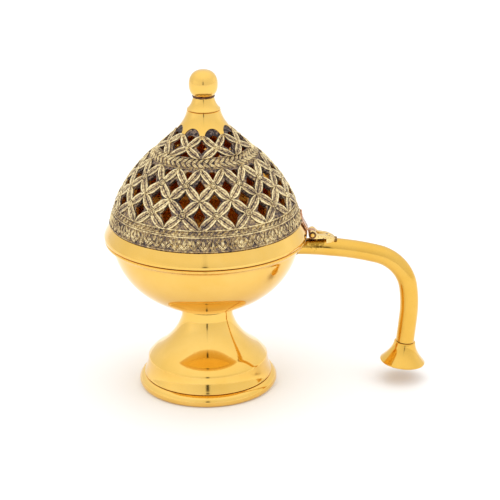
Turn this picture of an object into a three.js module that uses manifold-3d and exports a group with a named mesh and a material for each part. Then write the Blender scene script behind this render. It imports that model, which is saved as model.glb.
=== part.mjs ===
// A brass hand censer: a turned foot and bowl, a bent tube handle with a trumpet end,
// and a pierced domed lid on a hinge above the handle, with a ball finial.
// Millimetres, +Z up. The origin is the centre of the foot on the table, the handle points
// along +X, and the hinge pin lies along Y.

import * as THREE from 'three';
import { mergeVertices } from 'three/addons/utils/BufferGeometryUtils.js';
import Module from 'manifold-3d';

const wasm = await Module();
wasm.setup();

// ---------------------------------------------------------------- driving dimensions

const ROUND = 40; // facets round a large turned piece
const DOME_ROUND = 32; // facets round the dome, two to each hole of the lattice
const SMALL_ROUND = 16; // facets round a bolt, pin, tube or finial
const GAP = 0.3; // clearance between pieces that touch
const CURVE_STEPS = 5; // straight steps along each curve of an outline

const RING_RADIUS = 37.4; // foot ring, where it meets the table
const RING_TOP_RADIUS = 36.4;
const RING_BORE = 33;
const RING_HEIGHT = 6.1;

const FOOT_WALL = 1.8;
const SKIRT_RADIUS = 35.6; // bottom of the skirt, on the ring
const SHOULDER_RADIUS = 33.3; // the sharp edge where the skirt ends
const SHOULDER_HEIGHT = 16.7;
const STEM_RADIUS = 14;
const FOOT_HEIGHT = 44.8;
const PLATE_THICKNESS = 1.2;

const BOWL_WALL = 1.8;
const BOWL_BASE = FOOT_HEIGHT + GAP;
const BOWL_RADIUS = 51.4; // just under the lip
const BOWL_SIDE_TOP = 82.6;
const LIP_RADIUS = 55.4;
const LIP_UNDERSIDE = 84.6;
const BOWL_HEIGHT = 86.3;

const BOLT_RADIUS = 3;
const BOLT_HOLE = BOLT_RADIUS + GAP;
const BOLT_HEAD_RADIUS = 6;
const BOLT_HEAD_HEIGHT = 3;
const BOLT_TIP = 34;
const WASHER_RADIUS = 8;
const WASHER_THICKNESS = 1.2;
const BOLT_NUT_ACROSS_CORNERS = 11.5;
const BOLT_NUT_THICKNESS = 5;

const RIM_BASE = BOWL_HEIGHT + 0.4;
const RIM_RADIUS = 55.6;
const BAND_BASE = 95.4; // where the chased dome begins
const BAND_RADIUS = 52.2;
const RIM_LIP_RADIUS = 49.3; // locating lip, inside the bowl
const RIM_LIP_WALL = 1.6;
const RIM_LIP_DROP = 2.4;

const DOME_WALL = 2;
const HAUNCH_RADIUS = 29.2; // where the dome's convex side turns concave
const HAUNCH_HEIGHT = 133.6;
const CONE_RADIUS = 8.7;
const CONE_HEIGHT = 158.1;

const LATTICE_COUNT = 16; // holes round each of the four lower rows
const LATTICE_TURN = 8.6; // degrees from -Y to the first boss
const CROWN_COUNT = 8; // holes round each of the three upper rows
const CROWN_TURN = 20;

const STUD_RADIUS = 2;
const STUD_HOLE = STUD_RADIUS + GAP;
const STUD_BASE = 150;
const FINIAL_NUT_ACROSS_CORNERS = 8;
const FINIAL_NUT_THICKNESS = 3.2;
const COLLAR_BASE = CONE_HEIGHT + GAP;
const COLLAR_RADIUS = 9;
const NECK_RADIUS = 5.6;
const NECK_HEIGHT = 165.3;
const BALL_RADIUS = 7.8;
const BALL_CENTRE = 171.9;
const BALL_HALF_HEIGHT = 7.9;
const BALL_SQUARENESS = 2.3; // 2 is a true ball, more is a barrel
const BALL_BORE_TOP = 172.6;

const TUBE_RADIUS = 5.1;
const TUBE_WALL = 0.9;
const TUBE_ROOT_RADIUS = 4.35; // the tube narrows where it meets the bowl
const TUBE_TAPER_LENGTH = 18;
const TUBE_ROOT = { x: 50, z: 79.5, rise: 2.5 }; // start of the centreline, rising in degrees
// The centreline bends downwards in three even sweeps and ends straight.
const TUBE_RUN = [
  { length: 44.5, turn: 17 },
  { length: 27.8, turn: 67 },
  { length: 18, turn: 14.2 },
  { length: 14.6, turn: 0 },
];
const TUBE_STEP = 5.5;

const BELL_LENGTH = 12.4;
const BELL_TOP_RADIUS = 5.9;
const BELL_RADIUS = 12.6;
const BELL_WALL = 1.1;
const BELL_SPIGOT_LENGTH = 8;

const HINGE = { x: 58.3, z: 87.5 };
const HINGE_WIDTH = 9;
const KNUCKLE_RADIUS = 2.2;
const CENTRE_KNUCKLE = 3.1;
const PIN_RADIUS = 0.9;
const PIN_HOLE = PIN_RADIUS + GAP;
const PIN_HEAD_RADIUS = 1.25;
const PIN_HEAD_THICKNESS = 0.45;
const LEAF_THICKNESS = 1.4;
const LID_LEAF_TOP = 100.4;
const LID_LEAF_BEND = 97; // height where the lid leaf leaves the dome
const LEAF_FOOT = { start: 65.8, end: 71, base: 82.6 };
const LEAF_FOOT_RIVET = 1.8; // from the start of the leaf's foot to its rivet
const LEAF_FOOT_GRIP = 4.2; // from the rivet's outer head to its inner one

const RIVET_RADIUS = 1;
const RIVET_HOLE = RIVET_RADIUS + GAP;
const RIVET_HEAD_RADIUS = 1.7;
const RIVET_HEAD_HEIGHT = 0.8;
const LID_RIVET_SPREAD = 2.7; // from the middle of the leaf to each rivet
const LID_RIVET_HEIGHT = 99;

// ---------------------------------------------------------------- materials

const polishedBrass = { color: 0xe9b858, roughness: 0.15, metalness: 1 };
const chasedBrass = { color: 0x9c8a5e, roughness: 0.5, metalness: 1 };
const castBrass = { color: 0xd8a878, roughness: 0.35, metalness: 1 };
const plainBrass = { color: 0xc79a4a, roughness: 0.4, metalness: 1 };

// ---------------------------------------------------------------- helpers

const point = (r, z) => new THREE.Vector2(r, z);

// Points along a cubic curve between two corners of an outline, without the first.
function curve(from, controlA, controlB, to, steps = CURVE_STEPS) {
  const bezier = new THREE.CubicBezierCurve(from, controlA, controlB, to);
  return bezier.getPoints(steps).slice(1);
}

// The same outline moved sideways by a distance, to its left, with mitred corners.
function beside(outline, distance) {
  return outline.map((here, i) => {
    const before = i > 0 ? here.clone().sub(outline[i - 1]).normalize() : null;
    const after = i < outline.length - 1 ? outline[i + 1].clone().sub(here).normalize() : null;
    const a = before ?? after;
    const b = after ?? before;
    const left = point(-a.y - b.y, a.x + b.x);
    return here.clone().addScaledVector(left, distance / (1 + a.dot(b)));
  });
}

// A closed wall of even thickness inside an outline that climbs, with its base cut level.
function wall(outline, thickness) {
  const inside = beside(outline, thickness);
  inside[0].y = outline[0].y;
  return [...outline, ...inside.reverse()];
}

// Turns an outline of (radius, height) points about the Z axis.
function turned(outline, segments = ROUND, closed = true) {
  const points = closed ? [...outline, outline[0]] : outline;
  return new THREE.LatheGeometry(points, segments).rotateX(Math.PI / 2);
}

// A flat shape drawn in X and Z, as thick as the given width, centred on Y.
function plate(shape, width, curveSegments = 6) {
  const geometry = new THREE.ExtrudeGeometry(shape, {
    depth: width,
    bevelEnabled: false,
    curveSegments,
  });
  return geometry.rotateX(Math.PI / 2).translate(0, width / 2, 0);
}

function hexNut(acrossCorners, thickness, hole, base) {
  const shape = new THREE.Shape();
  for (let i = 0; i < 6; i += 1) {
    const angle = (i * Math.PI) / 3;
    const x = (acrossCorners / 2) * Math.cos(angle);
    const y = (acrossCorners / 2) * Math.sin(angle);
    if (i === 0) shape.moveTo(x, y);
    else shape.lineTo(x, y);
  }
  shape.holes.push(new THREE.Path().absarc(0, 0, hole, 0, 2 * Math.PI, true));
  const settings = { depth: thickness, bevelEnabled: false, curveSegments: 8 };
  return new THREE.ExtrudeGeometry(shape, settings).translate(0, 0, base);
}

// A cylinder of the given length along Y.
function pegAlongY(radius, length, segments = SMALL_ROUND) {
  return new THREE.CylinderGeometry(radius, radius, length, segments);
}

function toSolid(geometry) {
  const plain = geometry.index ? geometry.toNonIndexed() : geometry.clone();
  plain.deleteAttribute('normal');
  plain.deleteAttribute('uv');
  const merged = mergeVertices(plain, 1e-4);
  const corners = Array.from(merged.index.array);
  const kept = [];
  for (let i = 0; i < corners.length; i += 3) {
    const [a, b, c] = corners.slice(i, i + 3);
    if (a !== b && b !== c && c !== a) kept.push(a, b, c);
  }
  return new wasm.Manifold(
    new wasm.Mesh({
      numProp: 3,
      vertProperties: new Float32Array(merged.attributes.position.array),
      triVerts: new Uint32Array(kept),
    }),
  );
}

function toGeometry(solid) {
  const mesh = solid.getMesh();
  const geometry = new THREE.BufferGeometry();
  geometry.setAttribute('position', new THREE.BufferAttribute(mesh.vertProperties, 3));
  geometry.setIndex(new THREE.BufferAttribute(mesh.triVerts, 1));
  return geometry;
}

// One geometry with others cut out of it.
function cutFrom(geometry, cutters) {
  const solid = cutters.reduce((body, cutter) => body.subtract(toSolid(cutter)), toSolid(geometry));
  return toGeometry(solid);
}

function piece(name, geometry, finish) {
  const mesh = new THREE.Mesh(geometry, new THREE.MeshStandardMaterial(finish));
  mesh.name = name;
  return mesh;
}

// ---------------------------------------------------------------- foot

function footRing() {
  const foot = point(RING_RADIUS, 0);
  const top = point(RING_TOP_RADIUS, RING_HEIGHT);
  return turned([
    point(RING_BORE, 0),
    foot,
    ...curve(foot, point(RING_RADIUS + 2, 1.2), point(RING_TOP_RADIUS + 2.5, 4.8), top),
    point(RING_BORE, RING_HEIGHT),
  ]);
}

function footPlate() {
  const radius = RING_BORE - GAP;
  const outline = [
    point(0, 0),
    point(radius, 0),
    point(radius, PLATE_THICKNESS),
    point(0, PLATE_THICKNESS),
  ];
  return turned(outline, ROUND, false);
}

function foot() {
  const base = RING_HEIGHT + GAP;
  const hem = point(SKIRT_RADIUS, base + 0.6);
  const shoulder = point(SHOULDER_RADIUS, SHOULDER_HEIGHT);
  const hip = point(30.2, 20.6);
  const waist = point(STEM_RADIUS + 0.1, 40.5);
  const outline = [
    point(SKIRT_RADIUS, base),
    hem,
    ...curve(hem, point(34.4, 9.6), point(33.6, 12.5), shoulder, 2),
    ...curve(shoulder, point(32.9, 18.6), point(31.9, 19.4), hip, 2),
    ...curve(hip, point(24.5, 23.3), point(16.2, 31.5), waist),
    point(STEM_RADIUS, FOOT_HEIGHT),
    point(BOLT_HOLE, FOOT_HEIGHT),
  ];
  return turned(wall(outline, FOOT_WALL));
}

// ---------------------------------------------------------------- bowl

// The outside of the bowl from its flat base up to the underside of the lip.
function bowlSide() {
  const seat = point(STEM_RADIUS, BOWL_BASE);
  return [seat, ...curve(seat, point(34, 53), point(47, 62), point(BOWL_RADIUS, BOWL_SIDE_TOP), 7)];
}

function bowl() {
  const outside = [point(BOLT_HOLE, BOWL_BASE), ...bowlSide()];
  const inside = beside(outside, BOWL_WALL).reverse();
  const mouth = point(inside[0].x, BOWL_HEIGHT);
  return turned([
    ...outside,
    point(LIP_RADIUS - 1.4, LIP_UNDERSIDE - 0.3),
    point(LIP_RADIUS, LIP_UNDERSIDE + 0.3),
    point(LIP_RADIUS, BOWL_HEIGHT - 0.4),
    point(LIP_RADIUS - 0.4, BOWL_HEIGHT),
    mouth,
    ...inside,
  ]);
}

// The space that the handle keeps out of: the bowl's side and lip with a gap round them.
function bowlClearance() {
  const side = beside(bowlSide(), -GAP);
  const inner = 30;
  return turned([
    point(inner, side[0].y),
    ...side.filter((corner) => corner.x > inner),
    point(LIP_RADIUS - 1, LIP_UNDERSIDE - 2 * GAP),
    point(LIP_RADIUS + GAP, LIP_UNDERSIDE - GAP),
    point(LIP_RADIUS + GAP, BOWL_HEIGHT),
    point(inner, BOWL_HEIGHT),
  ]);
}

// ---------------------------------------------------------------- bolt that joins them

function bowlBolt() {
  const seat = BOWL_BASE + BOWL_WALL + GAP;
  const brow = point(BOLT_HEAD_RADIUS, seat + 0.8);
  const crown = point(0, seat + BOLT_HEAD_HEIGHT);
  const outline = [
    point(0, BOLT_TIP),
    point(BOLT_RADIUS, BOLT_TIP),
    point(BOLT_RADIUS, seat),
    point(BOLT_HEAD_RADIUS, seat),
    brow,
    ...curve(brow, point(BOLT_HEAD_RADIUS, seat + 2), point(3, crown.y), crown, 4),
  ];
  return turned(outline, SMALL_ROUND, false);
}

function boltWasher() {
  const top = FOOT_HEIGHT - FOOT_WALL - GAP;
  const base = top - WASHER_THICKNESS;
  const outline = [
    point(BOLT_HOLE, base),
    point(WASHER_RADIUS, base),
    point(WASHER_RADIUS, top),
    point(BOLT_HOLE, top),
  ];
  return turned(outline, SMALL_ROUND);
}

function boltNut() {
  const top = FOOT_HEIGHT - FOOT_WALL - WASHER_THICKNESS - 2 * GAP;
  const base = top - BOLT_NUT_THICKNESS;
  return hexNut(BOLT_NUT_ACROSS_CORNERS, BOLT_NUT_THICKNESS, BOLT_HOLE, base);
}

// ---------------------------------------------------------------- handle

// Where the handle's centreline is after a length along it, and how far it points below level.
function alongHandle(length) {
  let { x, z } = TUBE_ROOT;
  let slope = -THREE.MathUtils.degToRad(TUBE_ROOT.rise);
  let left = length;
  for (const sweep of TUBE_RUN) {
    const last = sweep === TUBE_RUN.at(-1);
    const travel = last ? left : Math.min(left, sweep.length);
    const turn = (THREE.MathUtils.degToRad(sweep.turn) * travel) / sweep.length;
    const chord = turn === 0 ? travel : (2 * travel * Math.sin(turn / 2)) / turn;
    x += chord * Math.cos(slope + turn / 2);
    z -= chord * Math.sin(slope + turn / 2);
    slope += turn;
    left -= travel;
    if (left <= 0) break;
  }
  return { x, z, slope };
}

const tubeLength = TUBE_RUN.reduce((total, sweep) => total + sweep.length, 0);

function tubeRadiusAt(length) {
  const share = Math.min(1, length / TUBE_TAPER_LENGTH);
  return THREE.MathUtils.lerp(TUBE_ROOT_RADIUS, TUBE_RADIUS, share);
}

// Carries a piece that was turned about Z onto the handle, its height becoming the distance
// along the centreline.
function bendOntoHandle(geometry) {
  const spots = geometry.attributes.position;
  for (let i = 0; i < spots.count; i += 1) {
    const { x, z, slope } = alongHandle(spots.getZ(i));
    const out = spots.getX(i);
    spots.setXYZ(i, x + out * Math.sin(slope), -spots.getY(i), z + out * Math.cos(slope));
  }
  geometry.computeVertexNormals();
  return geometry;
}

// The tube's wall before it is bent: round, tapered, and open at both ends.
function straightTube(outset, thickness) {
  const steps = Math.round(tubeLength / TUBE_STEP);
  const outside = [];
  for (let i = 0; i <= steps; i += 1) {
    const length = (tubeLength * i) / steps;
    outside.push(point(tubeRadiusAt(length) + outset, length));
  }
  const inside = outside.map((corner) => point(corner.x - thickness, corner.y)).reverse();
  return turned([...outside, ...inside], SMALL_ROUND);
}

function handleTube() {
  const tube = bendOntoHandle(straightTube(0, TUBE_WALL));
  return cutFrom(tube, [bowlClearance(), leafRivetHole()]);
}

function handleBell() {
  const start = tubeLength + GAP;
  const end = start + BELL_LENGTH;
  const top = point(BELL_TOP_RADIUS, start);
  const rim = point(BELL_RADIUS, end - 0.7);
  const outside = curve(
    top,
    point(6.6, start + 5.4),
    point(BELL_RADIUS - 3, start + 8.4),
    rim,
  );
  const spigot = TUBE_RADIUS - TUBE_WALL - GAP;
  return bendOntoHandle(
    turned(
      [
        point(spigot - 1, start - BELL_SPIGOT_LENGTH),
        point(spigot, start - BELL_SPIGOT_LENGTH),
        point(spigot, start),
        top,
        ...outside,
        point(BELL_RADIUS - 0.2, end),
        point(BELL_RADIUS - BELL_WALL, end),
        point(BELL_RADIUS - 3.2, end - 2.6),
        point(6.4, start + 5.4),
        point(spigot - 1, start + 1),
      ],
      24,
    ),
  );
}

// ---------------------------------------------------------------- hinge

function knuckleOutline(shape) {
  shape.holes.push(new THREE.Path().absarc(HINGE.x, HINGE.z, PIN_HOLE, 0, 2 * Math.PI, true));
  return shape;
}

// A shape through (x, z) corners, listed anticlockwise.
function sideShape(corners) {
  return new THREE.Shape(corners.map(([x, z]) => point(x, z)));
}

// Corners round the outside of the hinge barrel, from one angle to another, in degrees.
function roundBarrel(from, to, steps = 8) {
  const corners = [];
  for (let i = 0; i <= steps; i += 1) {
    const angle = THREE.MathUtils.degToRad(from + ((to - from) * i) / steps);
    corners.push([
      HINGE.x + KNUCKLE_RADIUS * Math.cos(angle),
      HINGE.z + KNUCKLE_RADIUS * Math.sin(angle),
    ]);
  }
  return corners;
}

function knuckleClearance(width, offset) {
  return pegAlongY(KNUCKLE_RADIUS + GAP, width).translate(HINGE.x, offset, HINGE.z);
}

// The leaf on the handle: a level strap from the foot of the barrel to a saddle on the tube.
function bodyLeaf() {
  const { start, end, base } = LEAF_FOOT;
  const under = HINGE.z - KNUCKLE_RADIUS;
  const top = under + LEAF_THICKNESS;
  const corners = [
    ...roundBarrel(-20, -90 + 360, 14),
    [start, under],
    [start, base],
    [end, base],
    [end, top - 2.4],
    [end - 2.2, top - 0.9],
    [end - 4.2, top],
  ];
  const strap = plate(knuckleOutline(sideShape(corners)), HINGE_WIDTH);
  const tubeSpace = bendOntoHandle(straightTube(GAP, 3));
  const middle = knuckleClearance(CENTRE_KNUCKLE + 2 * GAP, 0);
  return cutFrom(strap, [tubeSpace, middle, leafRivetHole()]);
}

// The outside of the dome at a height, on the line through its outline.
function domeRadiusAt(height) {
  const outline = domeSide();
  const above = outline.findIndex((corner) => corner.y >= height);
  const high = outline[Math.max(1, above)];
  const low = outline[Math.max(1, above) - 1];
  const share = (height - low.y) / (high.y - low.y);
  return low.x + (high.x - low.x) * share;
}

// The leaf on the lid: a short pad on the dome, then a strap down to the centre knuckle.
function lidLeaf() {
  const seatTop = domeRadiusAt(LID_LEAF_TOP) + GAP;
  const seatBend = domeRadiusAt(LID_LEAF_BEND) + GAP;
  const corners = [
    ...roundBarrel(-180, 135, 14),
    [seatBend + LEAF_THICKNESS, LID_LEAF_BEND - 1.6],
    [seatTop + LEAF_THICKNESS, LID_LEAF_TOP - 0.4],
    [seatTop + LEAF_THICKNESS - 0.5, LID_LEAF_TOP],
    [seatTop - 2, LID_LEAF_TOP],
    [seatBend - 1, LID_LEAF_BEND],
    [seatBend + 0.1, LID_LEAF_BEND],
    [HINGE.x - KNUCKLE_RADIUS, HINGE.z + 1],
  ];
  const strap = plate(knuckleOutline(sideShape(corners)), HINGE_WIDTH);
  const sideWidth = (HINGE_WIDTH - CENTRE_KNUCKLE) / 2 + 1;
  const sideMiddle = (CENTRE_KNUCKLE + sideWidth) / 2;
  return cutFrom(strap, [
    knuckleClearance(sideWidth, sideMiddle),
    knuckleClearance(sideWidth, -sideMiddle),
    domeSkin(),
    ...lidRivetPlaces().map((place) => rivetHole(place)),
  ]);
}

function hingePin() {
  const shank = HINGE_WIDTH / 2 + GAP;
  const head = shank + PIN_HEAD_THICKNESS;
  const outline = [
    point(0, -head),
    point(PIN_HEAD_RADIUS, -head),
    point(PIN_HEAD_RADIUS, -shank),
    point(PIN_RADIUS, -shank),
    point(PIN_RADIUS, shank),
    point(PIN_HEAD_RADIUS, shank),
    point(PIN_HEAD_RADIUS, head),
    point(0, head),
  ];
  return turned(outline, 16, false).rotateX(Math.PI / 2).translate(HINGE.x, 0, HINGE.z);
}

// ---------------------------------------------------------------- rivets

// A place on the object: where a rivet's outer head sits, and how its shank leans, in degrees.
function settle(geometry, { x, y, z, lean }) {
  return geometry.rotateY(THREE.MathUtils.degToRad(lean)).translate(x, y, z);
}

function rivet(grip, place) {
  const outline = [
    point(0, -grip - RIVET_HEAD_HEIGHT),
    point(RIVET_HEAD_RADIUS * 0.8, -grip - RIVET_HEAD_HEIGHT * 0.8),
    point(RIVET_HEAD_RADIUS, -grip),
    point(RIVET_RADIUS, -grip),
    point(RIVET_RADIUS, 0),
    point(RIVET_HEAD_RADIUS, 0),
    point(RIVET_HEAD_RADIUS * 0.8, RIVET_HEAD_HEIGHT * 0.6),
    point(0, RIVET_HEAD_HEIGHT),
  ];
  return settle(turned(outline, 12, false), place);
}

function rivetHole(place) {
  const length = 14;
  const peg = new THREE.CylinderGeometry(RIVET_HOLE, RIVET_HOLE, length, 12);
  return settle(peg.rotateX(Math.PI / 2), place);
}

// The lid leaf's two rivets stand square to the dome's side.
function lidRivetPlaces() {
  const rise = 1;
  const run = domeRadiusAt(LID_RIVET_HEIGHT - rise) - domeRadiusAt(LID_RIVET_HEIGHT + rise);
  const lean = 90 - THREE.MathUtils.radToDeg(Math.atan2(run, 2 * rise));
  const x = domeRadiusAt(LID_RIVET_HEIGHT) + LEAF_THICKNESS + 3 * GAP;
  return [-LID_RIVET_SPREAD, LID_RIVET_SPREAD].map((y) => ({ x, y, z: LID_RIVET_HEIGHT, lean }));
}

function leafRivetPlace() {
  const top = HINGE.z - KNUCKLE_RADIUS + LEAF_THICKNESS;
  return { x: LEAF_FOOT.start + LEAF_FOOT_RIVET, y: 0, z: top + GAP, lean: 0 };
}

// The foot's rivet goes only through the top of the tube.
function leafRivetHole() {
  const { x, z } = leafRivetPlace();
  const top = z + RIVET_HEAD_HEIGHT;
  const bottom = z - LEAF_FOOT_GRIP - 2 * RIVET_HEAD_HEIGHT - 2 * GAP;
  const peg = new THREE.CylinderGeometry(RIVET_HOLE, RIVET_HOLE, top - bottom, 12);
  return peg.rotateX(Math.PI / 2).translate(x, 0, (top + bottom) / 2);
}

// ---------------------------------------------------------------- lid

// The dome's outside from its base to the top of the cone.
function domeSide() {
  const base = point(BAND_RADIUS, BAND_BASE);
  const haunch = point(HAUNCH_RADIUS, HAUNCH_HEIGHT);
  const top = point(CONE_RADIUS, CONE_HEIGHT);
  return [
    base,
    ...curve(base, point(49.5, 108), point(42, 122), haunch, 5),
    ...curve(haunch, point(21.5, 140.6), point(10.5, 148.5), top, 4),
  ];
}

// A skin just outside the dome that its neighbours are cut back to.
function domeSkin() {
  const side = domeSide();
  const skin = wall([point(side[0].x, BAND_BASE - 3), ...side], DOME_WALL + 4);
  return turned(skin.map((corner) => point(corner.x + GAP, corner.y)), DOME_ROUND);
}

function lidRim() {
  const brow = point(RIM_RADIUS, RIM_BASE + 1.6);
  const top = point(BAND_RADIUS + 0.1, BAND_BASE - GAP);
  const inside = RIM_LIP_RADIUS - RIM_LIP_WALL;
  return turned([
    point(inside, RIM_BASE - RIM_LIP_DROP),
    point(RIM_LIP_RADIUS, RIM_BASE - RIM_LIP_DROP),
    point(RIM_LIP_RADIUS, RIM_BASE),
    point(RIM_RADIUS - 0.3, RIM_BASE),
    point(RIM_RADIUS, RIM_BASE + 0.3),
    brow,
    ...curve(brow, point(55, 90.2), point(53, 92.6), top, 4),
    point(inside + 2, top.y),
    point(inside, top.y - 4),
  ]);
}

// Corners of a hole, as shares of its half width and of its rise above and below its middle.
const DIAMOND = [[0, -1], [1, 0], [0, 1], [-1, 0]];
const POINT_DOWN = [[0, -1], [1, 0.1], [0.45, 1], [-0.45, 1], [-1, 0.1]];
const ROOF = [[-1, -1], [1, -1], [0, 1]];
const ARCH = [[-0.5, -1], [0.5, -1], [1, 0], [0.6, 1], [-0.6, 1], [-1, 0]];

// One row of holes: how many, where the first is, its middle height, half width and half height.
const ROWS = [
  { form: DIAMOND, count: LATTICE_COUNT, step: 0.5, height: 113, width: 3.1, rise: 5 },
  { form: DIAMOND, count: LATTICE_COUNT, step: 0, height: 119.9, width: 3.1, rise: 4.2 },
  { form: DIAMOND, count: LATTICE_COUNT, step: 0.5, height: 126, width: 2.9, rise: 4 },
  { form: POINT_DOWN, count: LATTICE_COUNT, step: 0, height: 131.2, width: 2.3, rise: 2.4 },
  { form: ROOF, count: CROWN_COUNT, step: 0, height: 139.3, width: 3.6, rise: 1.2 },
  { form: DIAMOND, count: CROWN_COUNT, step: 0.5, height: 142.4, width: 3.1, rise: 3.1 },
  { form: ARCH, count: CROWN_COUNT, step: 0, height: 146.2, width: 2.4, rise: 1.5 },
];

// A peg of the hole's shape that reaches from inside the dome out through its side.
function holeCutter(row, azimuth) {
  const outline = new THREE.Shape(row.form.map(([across, up]) => (
    point(across * row.width, up * row.rise)
  )));
  const depth = domeRadiusAt(row.height) + 6;
  const peg = new THREE.ExtrudeGeometry(outline, { depth, bevelEnabled: false });
  peg.rotateX(Math.PI / 2).translate(0, 0, row.height);
  return peg.rotateZ(azimuth);
}

function latticeCutters() {
  const cutters = [];
  for (const row of ROWS) {
    const first = row.count === LATTICE_COUNT ? LATTICE_TURN : CROWN_TURN;
    for (let i = 0; i < row.count; i += 1) {
      const degrees = first + ((i + row.step) * 360) / row.count;
      cutters.push(holeCutter(row, THREE.MathUtils.degToRad(degrees)));
    }
  }
  return cutters;
}

function lidDome() {
  const outline = [...domeSide(), point(STUD_HOLE, CONE_HEIGHT)];
  const shell = turned(wall(outline, DOME_WALL), DOME_ROUND);
  const rivetHoles = lidRivetPlaces().map((place) => rivetHole(place));
  return cutFrom(shell, [...latticeCutters(), ...rivetHoles]);
}

// ---------------------------------------------------------------- finial

function finialCollar() {
  const hem = point(COLLAR_RADIUS, COLLAR_BASE + 0.3);
  const neck = point(NECK_RADIUS, NECK_HEIGHT);
  return turned(
    [
      point(STUD_HOLE, COLLAR_BASE),
      point(COLLAR_RADIUS, COLLAR_BASE),
      hem,
      ...curve(hem, point(7.2, 160), point(6.3, 162.2), neck, 5),
      point(STUD_HOLE, NECK_HEIGHT),
    ],
    SMALL_ROUND,
  );
}

// The ball is a barrel-sided ball, bored from below for the stud.
function finialBall() {
  const seat = NECK_HEIGHT + GAP;
  const outline = [
    point(0, BALL_BORE_TOP),
    point(STUD_HOLE, BALL_BORE_TOP),
    point(STUD_HOLE, seat),
  ];
  const power = 2 / BALL_SQUARENESS;
  const lowest = -Math.asin(((BALL_CENTRE - seat) / BALL_HALF_HEIGHT) ** (1 / power));
  const steps = 10;
  for (let i = 0; i <= steps; i += 1) {
    const angle = THREE.MathUtils.lerp(lowest, Math.PI / 2, i / steps);
    const across = i === steps ? 0 : Math.cos(angle) ** power;
    const up = Math.sign(angle) * Math.abs(Math.sin(angle)) ** power;
    outline.push(point(BALL_RADIUS * across, BALL_CENTRE + BALL_HALF_HEIGHT * up));
  }
  return turned(outline, SMALL_ROUND, false);
}

function finialStud() {
  const top = BALL_BORE_TOP - GAP;
  const outline = [
    point(0, STUD_BASE),
    point(STUD_RADIUS, STUD_BASE),
    point(STUD_RADIUS, top),
    point(0, top),
  ];
  return turned(outline, SMALL_ROUND, false);
}

function finialNut() {
  const base = CONE_HEIGHT - DOME_WALL - GAP - FINIAL_NUT_THICKNESS;
  return hexNut(FINIAL_NUT_ACROSS_CORNERS, FINIAL_NUT_THICKNESS, STUD_HOLE, base);
}

// ---------------------------------------------------------------- assembly

function body() {
  const group = new THREE.Group();
  group.add(
    piece('foot_ring', footRing(), polishedBrass),
    piece('foot_plate', footPlate(), plainBrass),
    piece('foot', foot(), polishedBrass),
    piece('bowl', bowl(), polishedBrass),
    piece('bowl_bolt', bowlBolt(), plainBrass),
    piece('bolt_washer', boltWasher(), plainBrass),
    piece('bolt_nut', boltNut(), plainBrass),
    piece('handle_tube', handleTube(), polishedBrass),
    piece('handle_bell', handleBell(), polishedBrass),
    piece('hinge_body_leaf', bodyLeaf(), castBrass),
    piece('hinge_pin', hingePin(), castBrass),
    piece('body_leaf_rivet', rivet(LEAF_FOOT_GRIP, leafRivetPlace()), castBrass),
  );
  return group;
}

function lid() {
  const group = new THREE.Group();
  const [front, back] = lidRivetPlaces();
  const grip = DOME_WALL + LEAF_THICKNESS + 4 * GAP;
  group.add(
    piece('lid_rim', lidRim(), polishedBrass),
    piece('lid_dome', lidDome(), chasedBrass),
    piece('hinge_lid_leaf', lidLeaf(), castBrass),
    piece('lid_leaf_rivet_front', rivet(grip, front), castBrass),
    piece('lid_leaf_rivet_back', rivet(grip, back), castBrass),
    piece('finial_collar', finialCollar(), polishedBrass),
    piece('finial_ball', finialBall(), polishedBrass),
    piece('finial_stud', finialStud(), plainBrass),
    piece('finial_nut', finialNut(), plainBrass),
  );
  return group;
}

const handCenser = new THREE.Group();
handCenser.add(body(), lid());

export default handCenser;
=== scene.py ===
# %% [markdown]
# # A brass hand censer
# The object is a small incense burner that is carried by its handle: a turned foot and bowl, a
# bent tube handle with a trumpet end, and a pierced, chased dome that lifts on a hinge. Nearly
# all of it is brass, so the lesson is about reflections, small rounded edges and old metal. The
# finished model of the mechanism comes first and is never moved. Each piece below is a finer
# skin that stands in the same place and rides on the same moving body.

# %% Load the fixed frame
from bisect import bisect_right
from math import asin, atan2, copysign, cos, degrees, exp, hypot, pi, radians, sin, sqrt, tau
from random import Random

import bmesh
import bpy
from mathutils import Matrix, Vector, noise
from mathutils.geometry import interpolate_bezier


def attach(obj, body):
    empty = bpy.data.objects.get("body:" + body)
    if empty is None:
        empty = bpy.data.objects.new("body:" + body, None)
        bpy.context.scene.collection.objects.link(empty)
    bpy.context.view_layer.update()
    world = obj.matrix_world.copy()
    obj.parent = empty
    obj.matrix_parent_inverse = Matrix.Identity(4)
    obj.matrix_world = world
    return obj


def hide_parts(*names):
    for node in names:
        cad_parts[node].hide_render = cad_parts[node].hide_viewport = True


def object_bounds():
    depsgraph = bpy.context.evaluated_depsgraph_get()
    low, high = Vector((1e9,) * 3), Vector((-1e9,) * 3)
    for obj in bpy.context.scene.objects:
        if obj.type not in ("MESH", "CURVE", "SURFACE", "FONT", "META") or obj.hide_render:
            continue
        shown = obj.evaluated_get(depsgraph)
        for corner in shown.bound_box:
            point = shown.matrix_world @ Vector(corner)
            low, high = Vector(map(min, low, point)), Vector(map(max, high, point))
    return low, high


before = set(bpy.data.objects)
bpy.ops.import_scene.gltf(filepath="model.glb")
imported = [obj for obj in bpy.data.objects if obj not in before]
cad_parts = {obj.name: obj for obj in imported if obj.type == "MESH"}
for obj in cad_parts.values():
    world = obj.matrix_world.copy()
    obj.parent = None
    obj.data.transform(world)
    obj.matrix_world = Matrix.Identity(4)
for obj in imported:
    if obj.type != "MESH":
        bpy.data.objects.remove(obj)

cad_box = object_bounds()

# %% [markdown]
# ## Camera
# A long lens from about a metre away flattens the shape, as it does in a catalogue. The camera
# looks a little down on the lid, square to the handle, and leans by half a degree.

# %% Place the camera
LOOK_AT = Vector((0.0241, 0, 0.0776))
CAMERA_DISTANCE = 0.952
CAMERA_RISE = radians(20.43)
CAMERA_LEAN = radians(-0.47)
CAMERA_LENS = 124.6


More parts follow.
